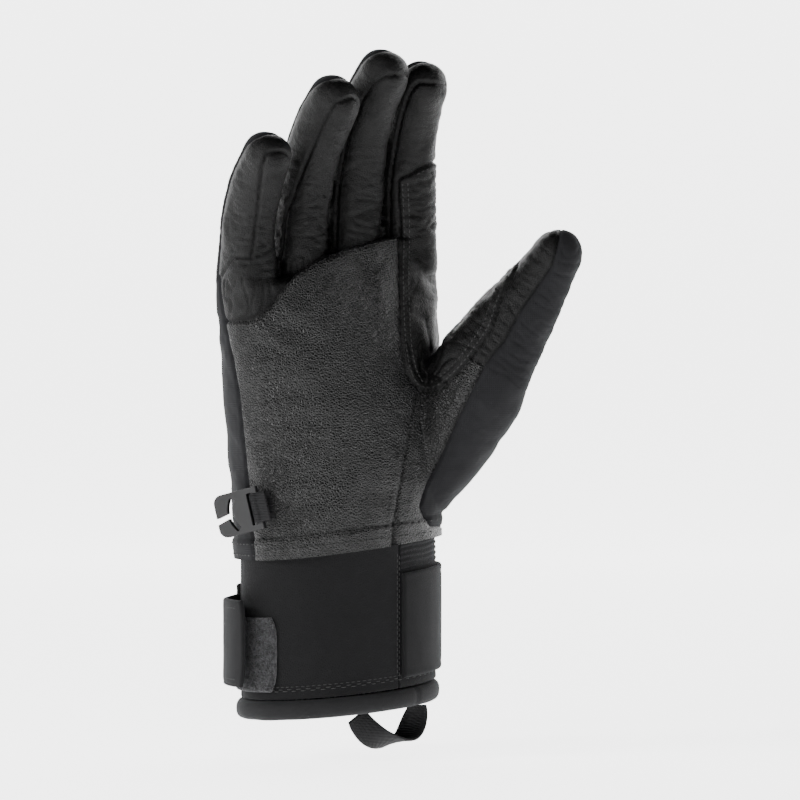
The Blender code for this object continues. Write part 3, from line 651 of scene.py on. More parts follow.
def build_camera(target):
    data = bpy.data.cameras.new("camera")
    data.sensor_width = SENSOR
    data.lens = SENSOR * CAMERA_DISTANCE / VIEW_WIDTH
    data.clip_end = 50.0
    camera = bpy.data.objects.new("camera", data)
    bpy.context.scene.collection.objects.link(camera)
    camera.location = Vector((target + VIEW_BACK * CAMERA_DISTANCE) * MM)
    camera.rotation_euler = (math.radians(90), 0, math.radians(VIEW_AZIMUTH))
    bpy.context.scene.camera = camera


def build_backdrop(target):
    """A floor that bends up into a wall far behind the glove."""
    profile = [(FLOOR_NEAR, 0), (-400, 0), (BACKDROP_START, 0)]
    for turn in np.radians(range(6, 91, 6)):
        profile.append((BACKDROP_START + BACKDROP_BEND * math.sin(turn),
                        BACKDROP_BEND - BACKDROP_BEND * math.cos(turn)))
    profile.append((BACKDROP_START + BACKDROP_BEND, BACKDROP_TOP))
    points = []
    for ahead, up in profile:
        base = target * (1, 1, 0) - VIEW_BACK * ahead + np.array([0, 0, FLOOR_LEVEL + up])
        points += [base - VIEW_RIGHT * BACKDROP_HALF_WIDTH, base + VIEW_RIGHT * BACKDROP_HALF_WIDTH]
    faces = [(2 * i, 2 * i + 1, 2 * i + 3, 2 * i + 2) for i in range(len(profile) - 1)]
    floor = finish_mesh(object_from("floor", points, faces))
    floor.data.materials.append(floor_material())


def build_sky():
    """A world that is light near the horizon and dim above and below."""
    world = bpy.context.scene.world or bpy.data.worlds.new("world")
    bpy.context.scene.world = world
    world.use_nodes = True
    tree = world.node_tree
    background = tree.nodes["Background"]
    background.inputs["Strength"].default_value = 1.0
    place = tree.nodes.new("ShaderNodeTexCoord")
    split = tree.nodes.new("ShaderNodeSeparateXYZ")
    level = tree.nodes.new("ShaderNodeMath")
    level.operation = "ABSOLUTE"
    fade = tree.nodes.new("ShaderNodeMapRange")
    for name, number in zip(("From Min", "From Max", "To Min", "To Max"), SKY_EDGE + SKY_LIGHT):
        fade.inputs[name].default_value = number
    tree.links.new(place.outputs["Generated"], split.inputs[0])
    tree.links.new(split.outputs["Z"], level.inputs[0])
    tree.links.new(level.outputs[0], fade.inputs["Value"])
    tree.links.new(fade.outputs["Result"], background.inputs["Color"])


def add_light(name, offset, target, size, power):
    data = bpy.data.lights.new(name, "AREA")
    data.shape = "SQUARE"
    data.size = size * MM
    data.energy = power
    light = bpy.data.objects.new(name, data)
    bpy.context.scene.collection.objects.link(light)
    place = Vector(target) + Vector(offset)
    light.location = place * MM
    light.rotation_euler = (place - Vector(target)).to_track_quat("Z", "Y").to_euler()


def floor_material():
    material = bpy.data.materials.new("floor")
    material.use_nodes = True
    shader = material.node_tree.nodes["Principled BSDF"]
    shader.inputs["Base Color"].default_value = (0.86, 0.86, 0.86, 1)
    shader.inputs["Roughness"].default_value = 0.9
    shader.inputs["Emission Color"].default_value = (1, 1, 1, 1)
    shader.inputs["Emission Strength"].default_value = FLOOR_GLOW
    return material


# ---------------------------------------------------------------- seams, padding and wrinkles


def seam_distance(points, lines):
    """Distance from each point to the nearest of the points on the seam lines."""
    tree = tree_of(lines)
    return np.array([tree.find(p)[2] for p in points])


def inflate(skin, lines):
    """Blows the padded skin up as cloth that is held along its seams, and returns the movement."""
    cloth = skin.cloth
    rest = points_of(cloth.data)
    gap = seam_distance(rest, lines)
    held = (gap < 2.6) | (rest[:, 2] < skin_bottom(rest[:, 0]) + 4)
    group = cloth.vertex_groups.new(name="held")
    group.add([int(i) for i in np.nonzero(held)[0]], 1.0, "REPLACE")
    modifier = cloth.modifiers.new("Cloth", "CLOTH")
    settings = modifier.settings
    settings.quality = 5
    settings.mass = 0.25
    settings.tension_stiffness = settings.compression_stiffness = 12
    settings.shear_stiffness = 5
    settings.bending_stiffness = 0.3
    settings.shrink_min = -0.015
    settings.use_pressure = True
    settings.uniform_pressure_force = 4
    settings.vertex_group_mass = "held"
    settings.effector_weights.gravity = 0
    modifier.collision_settings.use_collision = False
    modifier.point_cache.frame_start, modifier.point_cache.frame_end = 1, CLOTH_FRAMES
    for frame in range(1, CLOTH_FRAMES + 1):
        bpy.context.scene.frame_set(frame)
    graph = bpy.context.evaluated_depsgraph_get()
    blown = cloth.evaluated_get(graph).to_mesh()
    move = points_of(blown) - rest
    bpy.context.scene.frame_set(1)
    bpy.data.objects.remove(cloth)
    length = np.linalg.norm(move, axis=1, keepdims=True)
    move *= PUFF_LIMIT * np.tanh(length / PUFF_LIMIT) / np.maximum(length, 1e-9)
    tree = tree_of(rest)
    out = np.zeros_like(skin.points)
    for i, point in enumerate(skin.points):
        near = tree.find_n(point, 8)
        weights = np.array([1 / (n[2] + 1.5) ** 2 for n in near])
        out[i] = weights @ move[[n[1] for n in near]] / weights.sum()
    return out


def ridged(points, scale, seed):
    """Creases: noise folded about zero, from 0 between creases to 1 on them."""
    shift = Vector((seed * 17.3, seed * 5.1, -seed * 9.7))
    return np.array([1 - min(1.0, 3.2 * abs(noise.noise(Vector(p * scale) + shift))) for p in points])


def soft_noise(points, scale, seed):
    """Gentle unevenness between -1 and 1."""
    shift = Vector((seed * 3.7, seed * 11.9, seed * 7.3))
    return np.array([noise.noise(Vector(p * scale) + shift) for p in points])


def relief(skin):
    """How far each point of the skin stands out from the plain form, in millimetres."""
    points = skin.points
    ends, pair = skin.boundary()
    where = (points[ends[:, 0]] + points[ends[:, 1]]) / 2
    lapped = (pair == WEB).any(axis=1) & (pair < LEAF).all(axis=1)
    lapped |= (pair == (PALM, ROOT)).all(axis=1) | (pair == (PALM, BALL)).all(axis=1)
    turned = seam_distance(points, where[~lapped])
    lap = seam_distance(points, where[lapped])
    near = np.minimum(turned, lap)
    panel = np.full(len(points), BACK)
    panel[skin.triangles.ravel()] = np.repeat(skin.panel, 3)

    # Fuller away from seams, which are grooves where panels are turned in and steps where they lap.
    out = 0.3 * (1 - np.exp(-(near / 4.0) ** 2))
    out -= 1.3 * np.exp(-(turned / 0.65) ** 2)
    out -= 1.0 * np.exp(-(lap / 0.75) ** 2)
    out += 0.8 * (panel == WEB) * smoothstep(lap / 0.9)
    out += 0.45 * (panel == PALM) * smoothstep(lap / 0.9) * smoothstep((16 - lap) / 8)
    # The folded hem above the cuff.
    hem = skin.z - skin_bottom(points[:, 0])
    out += 0.45 * smoothstep((8.5 - hem) / 1.0) - 0.3 * np.exp(-((hem - 9.0) / 0.8) ** 2)
    out += wrinkles(skin, panel, near)
    return out


def wrinkles(skin, panel, near):
    """Creases across the fingers and the thumb, folds in the web, and pleats under the fingers."""
    points, s = skin.points, skin.s
    finger = (skin.digit >= 0) & (skin.digit < THUMB)
    thumb = skin.digit == THUMB
    palm_side = smoothstep((skin.height + 0.5) / 0.9)
    calm = smoothstep(near / 2.5)
    out = 0.9 * soft_noise(points, 1 / 26, 1) + 0.3 * soft_noise(points, 1 / 9, 2)

    along = np.stack([skin.side * 12 / 13, s / 4.2, skin.digit * 5.0 + skin.height * 0.8], axis=1)
    crease = ridged(along, 1.0, 3) ** 2
    fine = ridged(along * (1.6, 2.2, 1.5), 1.0, 4) ** 2
    middle = np.exp(-((s - 27) / 9) ** 2)
    foot = np.exp(-((s - 6) / 10) ** 2)
    weight = finger * palm_side * (0.22 + 0.5 * middle + 0.55 * foot)
    out -= calm * weight * (0.7 * crease + 0.45 * fine)
    behind = finger * smoothstep((-skin.height - 0.3) / 0.5)
    out -= 0.25 * calm * behind * crease * (0.4 + middle)
    out -= calm * thumb * (0.35 * crease + 0.15 * fine) * palm_side

    # Folds that fan out from the corner between thumb and palm.
    x, z = skin.u - 33, skin.z - 131
    reach = np.hypot(x, z)
    turn = np.arctan2(z, x)
    round_corner = np.stack([turn * 5.0, reach / 13, reach * 0], axis=1)
    folds = ridged(round_corner, 1.0, 6) ** 2
    web = (panel == WEB) & ~finger
    out -= calm * web * folds * 0.9 * np.exp(-(reach / 34) ** 2) * smoothstep((reach - 4) / 8)
    web_lines = ridged(np.stack([skin.u / 9, skin.z / 3.0, skin.u * 0], axis=1), 1.0, 8) ** 2
    out -= calm * (panel == WEB) * 0.3 * web_lines * smoothstep((skin.z - 150) / 20)
    root = (panel == ROOT) & ~finger
    pleats = ridged(np.stack([skin.u / 3.2, skin.z / 10, skin.u * 0], axis=1), 1.0, 9) ** 2
    out -= calm * root * 0.6 * pleats
    return out


def skin_bottom(x):
    """The height of the skin's lower edge, which slopes like the cuff."""
    return 68.3 + 0.11 * x


def trim_bottom(skin):
    """Cuts the skin off level with the cuff's top seam."""
    field = skin.z - skin_bottom(skin.points[:, 0])
    near, _, _ = zero_crossings(field, skin.edges)
    skin.points[near, 2] -= field[near]
    skin.locate()
    field = skin.z - skin_bottom(skin.points[:, 0])
    keep = field[skin.triangles].max(axis=1) > 0.05
    skin.triangles = skin.triangles[keep]
    skin.edges = edges_of(skin.triangles)


def tidy_labels(triangles, labels, smallest):
    """Gives small islands of a label the label of a neighbour."""
    _, first, second = shared_edges(triangles)
    for _ in range(4):
        island = np.arange(len(triangles))
        joined = labels[first] == labels[second]
        a, b = first[joined], second[joined]
        while True:
            low = np.minimum(island[a], island[b])
            before = island.copy()
            np.minimum.at(island, a, low)
            np.minimum.at(island, b, low)
            island = island[island]
            if (before == island).all():
                break
        size = np.bincount(island, minlength=len(triangles))
        small = size[island] < smallest
        if not small.any():
            break
        for p, q in ((first, second), (second, first)):
            edge = small[p] & ~small[q] & (labels[p] != labels[q])
            target = np.full(len(triangles), -1)
            target[island[p[edge]]] = labels[q[edge]]
            new = target[island]
            change = small & (new >= 0)
            labels = np.where(change, new, labels)
            small &= ~change
    return labels


# ---------------------------------------------------------------- skin pieces

SLOTS = ("grained_leather", "black_leather", "grained_leather", "black_leather", "black_leather",
         "black_leather", "softshell")
BLEND_START = {"little": 1.5, "ring": 5, "middle": 5, "index": 5, "thumb": 1}


def body_names(digit):
    """The names of the bodies for a digit's base and tip."""
    return digit.name + "_base", digit.name + "_tip"


def part_name(part, digits):
    """The body of a part of the skin: 0 is the hand, then come each digit's base and tip."""
    return body_names(digits[(part - 1) // 2])[(part - 1) % 2] if part else "hand"


def split_skin(skin, digits, materials):
    """A piece for each panel of each moving part."""
    segment = np.zeros(len(skin.triangles), int)
    for i in range(len(digits)):
        mine = skin.tri_digit == i
        beyond = skin.bend[skin.triangles].sum(axis=1) > 0
        segment[mine] = 1 + 2 * i + beyond[mine]
    pieces = {}
    for key in np.unique(skin.panel * 20 + segment):
        panel, part = divmod(int(key), 20)
        chosen = skin.triangles[(skin.panel == panel) & (segment == part)]
        if len(chosen) < 40:
            continue
        where = part_name(part, digits)
        piece, used = triangles_object(f"{PANELS[panel]}_skin_{where}", skin.points, chosen)
        piece.data.normals_split_custom_set_from_vertices(skin.normals[used])
        piece.data.materials.append(materials[SLOTS[panel]])
        attach(piece, part, digits)
        pieces[(PANELS[panel], where)] = piece
    return pieces


def attach(piece, part, digits):
    """Lets a hand piece ride on the hand; a digit's piece only has its transform baked, and the blend ends
    worked out for it are not used.
    """
    if part == 0:
        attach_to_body(piece, "hand")
        return
    digit = digits[(part - 1) // 2]
    if part % 2 == 1:
        ends = BLEND_START[digit.name], digit.cut - 1.5
    else:
        ends = digit.cut + 1, digit.cut + 1 + BEND_LENGTH
    start, end = (Vector(digit.at(s)[0] * MM) for s in ends)
    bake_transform(piece)


def replace_skin_nodes(pieces, digits):
    for panel, node in (("palm", "palm_panel"), ("root", "finger_root_leather"),
                        ("ball", "thumb_ball_panel"), ("web", "thumb_web_patch"),
                        ("back", "back_panel"), ("back", "hand_insulation")):
        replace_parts(pieces[(panel, "hand")], node)
    for digit in digits:
        full = digit.name if digit.name == "thumb" else digit.name + "_finger"
        palm = "leaf" if digit.name == "thumb" else "root"
        side = "back" if digit.name == "thumb" else "side"
        base, tip = body_names(digit)
        foot = (palm, base) if (palm, base) in pieces else ("web", base)
        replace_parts(pieces[foot], full + "_base_palm", full + "_base_liner")
        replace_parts(pieces[("back", base)], full + "_base_back")
        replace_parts(pieces[(palm, tip)], full + "_tip_palm")
        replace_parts(pieces[("back", tip)], full + "_tip_back", full + "_tip_liner")
        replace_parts(pieces[(side, tip)], full + "_tip_sidewall")


# ---------------------------------------------------------------- stitches


STITCH_PROFILE = (  # place along the stitch, width and lift
    (-0.5, 0.35, -0.9), (-0.36, 0.85, -0.2), (0, 1.0, 0.25), (0.36, 0.85, -0.2), (0.5, 0.35, -0.9),
)


def stitch_mesh(points, normals, length, radius):
    """Short rounded threads centred on each point, following the line, with sunken ends."""
    verts, faces = [], []
    for i in range(1, len(points) - 1):
        ahead = unit(points[i + 1] - points[i - 1])
        up = unit(normals[i] - ahead * (normals[i] @ ahead))
        side = np.cross(ahead, up)
        first = len(verts)
        for along, wide, lift in STITCH_PROFILE:
            centre = points[i] + ahead * along * length + up * lift * radius
            for k in range(6):
                turn = math.pi * k / 3
                verts.append(centre + (side * math.cos(turn) + up * math.sin(turn)) * radius * wide)
        faces += ring_faces(first, 5, 6)
        faces.append(tuple(first + k for k in range(6))[::-1])
        faces.append(tuple(first + 24 + k for k in range(6)))
    return verts, faces


def offset_line(line, distance):
    """The line moved sideways, to its left when distance is positive."""
    points = np.array(line, float)
    ahead = np.gradient(points, axis=0)
    ahead /= np.maximum(np.linalg.norm(ahead, axis=1, keepdims=True), 1e-9)
    return points + np.stack([-ahead[:, 1], ahead[:, 0]], axis=1) * distance


def surface_of(skin):
    return BVHTree.FromPolygons(skin.points.tolist(), skin.triangles.tolist())


def cast(surface, origin, direction):
    """Where a ray meets the skin and the normal there, or None."""
    hit, normal, _, _ = surface.ray_cast(Vector(origin), Vector(direction))
    return None if hit is None else (np.array(hit), np.array(normal))


def outwards(degrees):
    """The level direction at an angle round the glove, from the palm side towards the thumb."""
    turn = math.radians(degrees)
    return np.array([math.sin(turn), -math.cos(turn), 0])


class Stitching:
    """Rows of thread on the skin, kept apart by the part of the skin that each stitch lies on."""

    def __init__(self, skin, digits):
        self.skin, self.digits = skin, digits
        self.surface = surface_of(skin)
        self.nearest = tree_of(skin.points)
        self.verts, self.faces = {}, {}

    def part_at(self, point):
        i = self.nearest.find(point)[1]
        digit = self.skin.digit[i]
        if digit < 0:
            return 0
        return 1 + 2 * digit + int(self.skin.s[i] > self.digits[digit].cut)

    def add_row(self, rays, length, radius):
        """Stitches where the rays, each an origin and a direction, meet the skin."""
        found = [cast(self.surface, *ray) for ray in rays]
        found = [place for place in found if place is not None]
        if len(found) < 4:
            return
        hits, normals = (np.array(values) for values in zip(*found))
        jump = np.linalg.norm(np.diff(hits, axis=0), axis=1) > 6
        for run in np.split(np.arange(len(hits)), np.nonzero(jump)[0] + 1):
            if len(run) < 3:
                continue
            parts = [self.part_at(p) for p in hits[run]]
            for part in sorted(set(parts)):
                chosen = [i for i, p in zip(run, parts) if p == part]
                for block in np.split(np.array(chosen), np.nonzero(np.diff(chosen) > 1)[0] + 1):
                    block = [i for i in range(block[0] - 1, block[-1] + 2) if 0 <= i < len(hits)]
                    self.add_block(part, *stitch_mesh(hits[block], normals[block], length, radius))

    def add_block(self, part, verts, faces):
        start = len(self.verts.setdefault(part, []))
        self.verts[part] += verts
        self.faces.setdefault(part, []).extend(tuple(start + i for i in f) for f in faces)


def oblique_rays(line):
    """Rays onto the skin along a line in the oblique view."""
    return [(VIEW_RIGHT * u + VIEW_BACK * 300 + np.array([0, 0, z]), -VIEW_BACK) for u, z, _ in line]


def hem_rays(rise):
    """Rays onto the hand's lower edge, round the back."""
    rays = []
    for degrees in np.arange(62, 290, 3.2):
        out = outwards(degrees)
        origin = out * 120
        origin[2] = skin_bottom(out[0] * 44) + rise
        rays.append((origin, -out))
    return rays


def skin_stitches(skin, digits, materials):
    """Rows of topstitching, laid out in the oblique view and cast onto the skin."""
    stitching = Stitching(skin, digits)
    ball = ((21.7, 71.8), (22, 76.8), (26.8, 105.2), (31.6, 128.6))
    rows = [  # line, how far to its side, spacing, length and radius of a stitch
        (WEB_OUTLINE[:13], 1.7, 2.1, 1.5, 0.26),
        (WEB_OUTLINE[:13], 3.9, 2.1, 1.5, 0.26),
        (WEB_OUTLINE[15:], 1.6, 2.1, 1.5, 0.26),
        (PALM_TOP_SEAM[1:], -1.8, 2.1, 1.5, 0.26),
        (ball, 2.2, 2.3, 1.6, 0.22),
    ]
    for seam, inset, spacing, length, radius in rows:
        line = curve_through([(*p, 0) for p in offset_line(seam, inset)], spacing)
        stitching.add_row(oblique_rays(line), length, radius)
    for rise in (2.0, 6.4):
        hem = [(u, skin_bottom(u * 0.95) + rise, 0) for u in range(-34, 44, 4)]
        stitching.add_row(oblique_rays(curve_through(hem, 2.4)), 1.7, 0.3)
    for rise in (2.0, 6.4):
        stitching.add_row(hem_rays(rise), 1.7, 0.24)
    for part, verts in stitching.verts.items():
        piece = object_from("stitches_" + part_name(part, digits), verts, stitching.faces[part])
        piece.data.shade_smooth()
        piece.data.materials.append(materials["thread"])
        attach(piece, part, digits)


# ---------------------------------------------------------------- cuff and straps

CUFF_HALF = (42.4, 30.0)
MM_PER_DEGREE = 0.64  # along the cuff, on average
HEM_HEIGHT = 7.0
CUFF_BOTTOM, CUFF_TOP = 11.4, 69.6
CUFF_SEAMS = (14, 256)
STRAP_WIDTH, TAB_WIDTH = (15.5, 57.0), (17.5, 53.0)
STRAP_THICK, STRAP_CLEAR = 2.2, 0.4
STRAP_HINGE, TAB_HINGE, TAB_END = 122, 236, 283
CURL_COUNT = 2200


def cuff_point(height, degrees, proud):
    """A point outside the cuff's oval; 0 degrees is the middle of the palm side, 90 the thumb side."""
    phi = math.radians(degrees)
    x = (CUFF_HALF[0] + proud) * math.sin(phi)
    tilt = 0.07 + 0.04 * height / CUFF_TOP
    return np.array([x, -(CUFF_HALF[1] + proud) * math.cos(phi), height + tilt * x])


def spread(low, high, step, edge):
    """Values from low to high, close together near the ends."""
    near = [0, 0.12 * edge, 0.35 * edge, 0.7 * edge, 1.15 * edge]
    count = max(2, int((high - low - 2.3 * edge) / step))
    middle = np.linspace(low + 1.6 * edge, high - 1.6 * edge, count)
    return np.concatenate([low + np.array(near), middle, high - np.array(near[::-1])])


def level(proud):
    """A distance from the cuff that is the same at every angle."""
    return lambda degrees: proud


def rounded_end(depth):
    """How far a strip's end is drawn in: nothing at mid height, and depth at the corners."""
    return lambda share: depth * (2 * share - 1) ** 4


def band(name, start, stop, low, high, proud, thick, edge=1.0, step=1.3, bow=None, relief=None):
    """A strip round the cuff with rounded edges. proud is a function of the angle."""
    degrees = spread(start, stop, step / MM_PER_DEGREE, edge / MM_PER_DEGREE)
    heights = spread(low, high, step, edge)
    layers = []
    for outer in (True, False):
        grid = []
        for height in heights:
            row = []
            share = (height - low) / (high - low)
            for angle in degrees:
                t = (angle - start) / (stop - start)
                end = stop - (bow(share) if bow else 0)
                place = start + (end - start) * t
                gap = min((place - start) * MM_PER_DEGREE, (end - place) * MM_PER_DEGREE,
                          height - low, high - height)
                inward = 1 - min(1.0, max(0.0, gap) / edge)
                pinch = thick / 2 * (1 - math.sqrt(max(0.0, 1 - inward * inward)))
                out = proud(place) + (thick - pinch if outer else pinch)
                if outer and relief:
                    out += relief(place, height) * (1 - inward)
                row.append(cuff_point(height, place, out))
            grid.append(row)
        layers.append(grid)
    rows, columns = len(heights), len(degrees)
    points = [p for grid in layers for row in grid for p in row]
    faces = []
    for layer in range(2):
        for i in range(rows - 1):
            for j in range(columns - 1):
                a = layer * rows * columns + i * columns + j
                faces.append((a, a + 1, a + columns + 1, a + columns))
    return finish_mesh(object_from(name, points, faces))


def dress(obj, material, body=None):
    """Gives a piece its material and slot, and the body it rides on."""
    obj.data.materials.append(material)
    if body:
        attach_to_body(obj, body)
    return obj


def tab_clearance(degrees):
    """The tab lies over the loop patch, so it stands off further than the strap."""
    share = (degrees - TAB_HINGE) / (TAB_END - TAB_HINGE)
    return STRAP_CLEAR + 4.4 * min(1.0, max(0.0, share) * 3.2) + 2.0 * share ** 2


def cuff_relief(degrees, height):
    """Soft dents in the foam, and the fold and stitch line above the hem."""
    lumps = noise.noise(Vector((math.sin(math.radians(degrees)) * 2.2,
                                math.cos(math.radians(degrees)) * 2.2, height / 22)))
    fold = -0.35 * math.exp(-((height - 15.2) / 0.9) ** 2)
    return 0.45 * lumps + fold


def rib_relief(degrees, height):
    """Gathered elastic between the palm's hem and the strap, on the thumb side."""
    side = 1 / (1 + math.exp(-(degrees - 13) / 1.2)) if degrees < 180 else 0.0
    side *= 1 / (1 + math.exp((degrees - 115) / 2))
    ribs = math.sin(height * 2 * math.pi / 2.1 + 0.6 * math.sin(degrees / 5))
    return cuff_relief(degrees, height) + side * (height > 57.5) * (0.32 * ribs - 0.1)


def build_cuff(materials):
    neoprene, hook_and_loop = materials["neoprene"], materials["hook_and_loop"]
    front, back = CUFF_SEAMS
    top = CUFF_TOP - 0.4
    panel = band("cuff_front", back - 360 + 0.06, front - 0.06, CUFF_BOTTOM, top, level(-3.0), 3.0, 0.6,
                 relief=cuff_relief)
    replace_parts(dress(panel, neoprene, "hand"), "cuff_front_panel")
    panel = band("cuff_back", front + 0.06, back - 0.06, CUFF_BOTTOM, top, level(-3.0), 3.0, 0.6,
                 step=0.55, relief=rib_relief)
    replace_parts(dress(panel, neoprene, "hand"), "cuff_back_panel")
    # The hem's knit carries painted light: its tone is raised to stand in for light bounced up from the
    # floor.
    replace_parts(dress(hem_binding(), materials["hem_knit_painted_bounce_light"], "hand"), "hem_binding")
    build_strap(materials["strap"], front + 0.5)

    hook = band("hook_side", 250, TAB_END - 5, TAB_WIDTH[0] + 3, TAB_WIDTH[1] - 3,
                lambda degrees: tab_clearance(degrees) - 1.3, 1.0, 0.4, bow=rounded_end(2.5))
    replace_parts(dress(hook, hook_and_loop, "strap_tab"), "hook_patch")
    loops = band("loop_side", 247, 298.5, 14.8, 45.0, level(0.2), 1.4, 0.6,
                 bow=rounded_end(4.0), relief=fuzz_relief)
    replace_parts(dress(loops, hook_and_loop, "hand"), "loop_patch")
    dress(curl_mesh(), hook_and_loop, "hand")
    cuff_stitches(materials)


def build_strap(material, start):
    """The strap's fixed start, its free middle and its tab."""
    clear = level(STRAP_CLEAR)
    root = band("strap_start", start, STRAP_HINGE - 0.2, *STRAP_WIDTH, clear, STRAP_THICK,
                relief=strap_relief)
    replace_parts(dress(root, material, "hand"), "strap_root")
    middle = band("strap_middle", STRAP_HINGE + 0.2, TAB_HINGE - 0.2, *STRAP_WIDTH, clear, STRAP_THICK,
                  relief=strap_relief)
    dress(middle, material)
    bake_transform(middle)
    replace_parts(middle, "strap_band")
    tab = band("strap_end", TAB_HINGE + 0.2, TAB_END, *TAB_WIDTH, tab_clearance, STRAP_THICK,
               bow=rounded_end(3.0), relief=strap_relief)
    dress(tab, material)
    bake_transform(tab)
    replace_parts(tab, "strap_tab")


def strap_relief(degrees, height):
    middle = (STRAP_WIDTH[0] + STRAP_WIDTH[1]) / 2
    edge = abs(height - middle) - (STRAP_WIDTH[1] - STRAP_WIDTH[0]) / 2 + 3.2
    return -0.22 * math.exp(-(edge / 0.6) ** 2) + 0.12 * noise.noise(Vector((degrees / 9, height / 12, 4)))


def fuzz_relief(degrees, height):
    return 0.3 * noise.noise(Vector((degrees * 1.1, height * 1.6, 2)))


def curl_mesh():
    """The loop side's fuzz: many small arched threads."""
    verts, faces = [], []
    state = np.random.default_rng(7)
    for _ in range(CURL_COUNT):
        degrees, height = state.uniform(249, 296.5), state.uniform(15.8, 44)
        middle = cuff_point(height, degrees, 1.5)
        out = unit(middle * (1, 1, 0))
        ahead = unit(np.cross(out, state.normal(size=3)))
        half = state.uniform(0.35, 0.8)
        rise = state.uniform(0.35, 0.9)
        first = len(verts)
        side = np.cross(out, ahead)
        for k in range(5):
            turn = math.pi * k / 4
            centre = middle - ahead * half * math.cos(turn) + out * (rise * math.sin(turn) - 0.1)
            for c in range(3):
                spin = 2 * math.pi * c / 3
                verts.append(centre + (side * math.cos(spin) + out * math.sin(spin)) * 0.12)
        faces += ring_faces(first, 5, 3)
    obj = object_from("loop_side_fuzz", verts, faces)
    obj.data.shade_smooth()
    return obj


def hem_binding():
    """The padded roll round the cuff's lower edge, pinched where its ends are sewn together."""
    columns, sides = 160, 20
    points, faces = [], []
    for j in range(columns):
        degrees = 360 * j / columns
        wave = 0.16 * noise.noise(Vector((math.sin(math.radians(degrees)) * 4,
                                          math.cos(math.radians(degrees)) * 4, 3)))
        join = -0.7 * math.exp(-((degrees - 27) / 1.1) ** 2)
        for k in range(sides):
            turn = 2 * math.pi * k / sides
            up, side = (signed_power(f, 0.8) for f in (math.sin(turn), math.cos(turn)))
            points.append(cuff_point(HEM_HEIGHT + (3.9 + wave + join * 0.4) * up, degrees,
                                     -1.6 + (3.4 + wave + join) * side))
    for j in range(columns):
        for k in range(sides):
            a, b = j * sides + k, j * sides + (k + 1) % sides
            c, d = ((j + 1) % columns) * sides + k, ((j + 1) % columns) * sides + (k + 1) % sides
            faces.append((a, b, d, c))
    return finish_mesh(object_from("hem", points, faces))


def with_normals(points):
    return np.array(points), np.array([unit(p * (1, 1, 0)) for p in points])


def cuff_row(start, stop, height, proud, pitch, zigzag=0.0):
    points = []
    for i, degrees in enumerate(np.arange(start, stop, pitch / MM_PER_DEGREE)):
        rise = zigzag * (1 if i % 2 else -1)
        points.append(cuff_point(height + rise, degrees, proud(degrees)))
    return with_normals(points)


def cuff_stitches(materials):
    edge = []
    for i, height in enumerate(np.arange(16, 66, 1.1)):
        edge.append(cuff_point(height, 13.2 + (0.7 if i % 2 else -0.7), 0.12))
    tab_start = [cuff_point(height, 246, tab_clearance(246) + 2.2) for height in np.arange(19, 52, 2.0)]
    rows = {  # points and normals, length and radius of a stitch
        "hand": [
            (*cuff_row(-104, 256, 15.2, level(0.0), 1.9, 0.35), 1.9, 0.2),
            (*cuff_row(-104, 256, 16.6, level(0.15), 2.1), 1.4, 0.16),
            (*with_normals(edge), 1.6, 0.17),
        ],
        "strap_tab": [(*with_normals(tab_start), 1.5, 0.2)],
    }
    for height in (TAB_WIDTH[0] + 3.2, TAB_WIDTH[1] - 3.2):
        row = cuff_row(246, TAB_END - 4, height, lambda degrees: tab_clearance(degrees) + 2.15, 2.0)
        rows["strap_tab"].append((*row, 1.5, 0.2))
    for body, lines in rows.items():
        verts, faces = [], []
        for points, normals, length, radius in lines:
            new_verts, new_faces = stitch_mesh(points, normals, length, radius)
            faces += [tuple(len(verts) + i for i in f) for f in new_faces]
            verts += new_verts
        piece = object_from("cuff_stitches_" + body, verts, faces)
        piece.data.shade_smooth()
        dress(piece, materials["cuff_thread"], body)


def build_lining(materials):
    """The fleece that shows through the mouth, up to the finger roots."""
    rings = []
    for height in np.linspace(6.2, 66, 24):
        rings.append([cuff_point(height, d, -4.3) for d in range(0, 360, 4)])
    for height in np.linspace(74, 166, 24):
        centre, half_width, half_depth = hand_section(height)
        inset = 5.2
        ring = oval((centre, 0, height), np.array([1.0, 0, 0]), np.array([0, -1.0, 0]),
                    half_width - inset, half_depth - inset, HAND_SQUARENESS, 90)
        ring = np.stack([-ring[:, 0] + 2 * centre, ring[:, 1], ring[:, 2]], axis=1)[::-1]
        rings.append(list(np.roll(ring, 1, axis=0)))
    top = rings[-1]
    middle = np.mean(top, axis=0)
    for k in range(1, 8):
        turn = k / 8 * math.pi / 2
        lift = np.array([0, 0, 7 * math.sin(turn)])
        rings.append([middle + (p - middle) * math.cos(turn) + lift for p in top])
    lining = loft("lining", rings, close_start=False)
    finish_mesh(lining)
    add_modifier(lining, "SOLIDIFY", thickness=0.9 * MM, offset=1)
    apply_modifiers(lining)
    points = points_of(lining.data)
    for i, p in enumerate(points):
        out = Vector(unit(p * (1, 1, 0.001)))
        lining.data.vertices[i].co += out * 0.25 * MM * noise.noise(Vector(p / 2.4))
    lining.data.shade_smooth()
    dress(lining, materials["fleece"], "hand")
    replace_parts(lining, "cuff_liner", "hand_liner", "wrist_elastic")


# ---------------------------------------------------------------- tapes and clip

LOOP_INSET = 5.9
LOOP_ROUTE = (
    (-17.0, -0.4, 0.0, 0), (-15.6, -3.2, 0.4, 8), (-12.4, -7.0, 1.0, 20), (-7.5, -10.6, 1.6, 38),
    (-1.0, -12.8, 1.8, 60), (5.0, -13.2, 1.4, 85), (10.5, -11.4, 0.6, 112), (14.6, -7.8, 0.0, 140),
    (16.8, -3.8, 0.0, 162), (17.4, -0.4, 0.0, 180),
)
TAPE_SECTION = (
    (-1, 0), (-0.97, 0.7), (-0.88, 1), (-0.5, 0.92), (0, 0.96), (0.5, 0.92), (0.88, 1), (0.97, 0.7),
    (1, 0), (0.97, -0.7), (0.88, -1), (0.5, -0.92), (0, -0.96), (-0.5, -0.92), (-0.88, -1), (-0.97, -0.7),
)


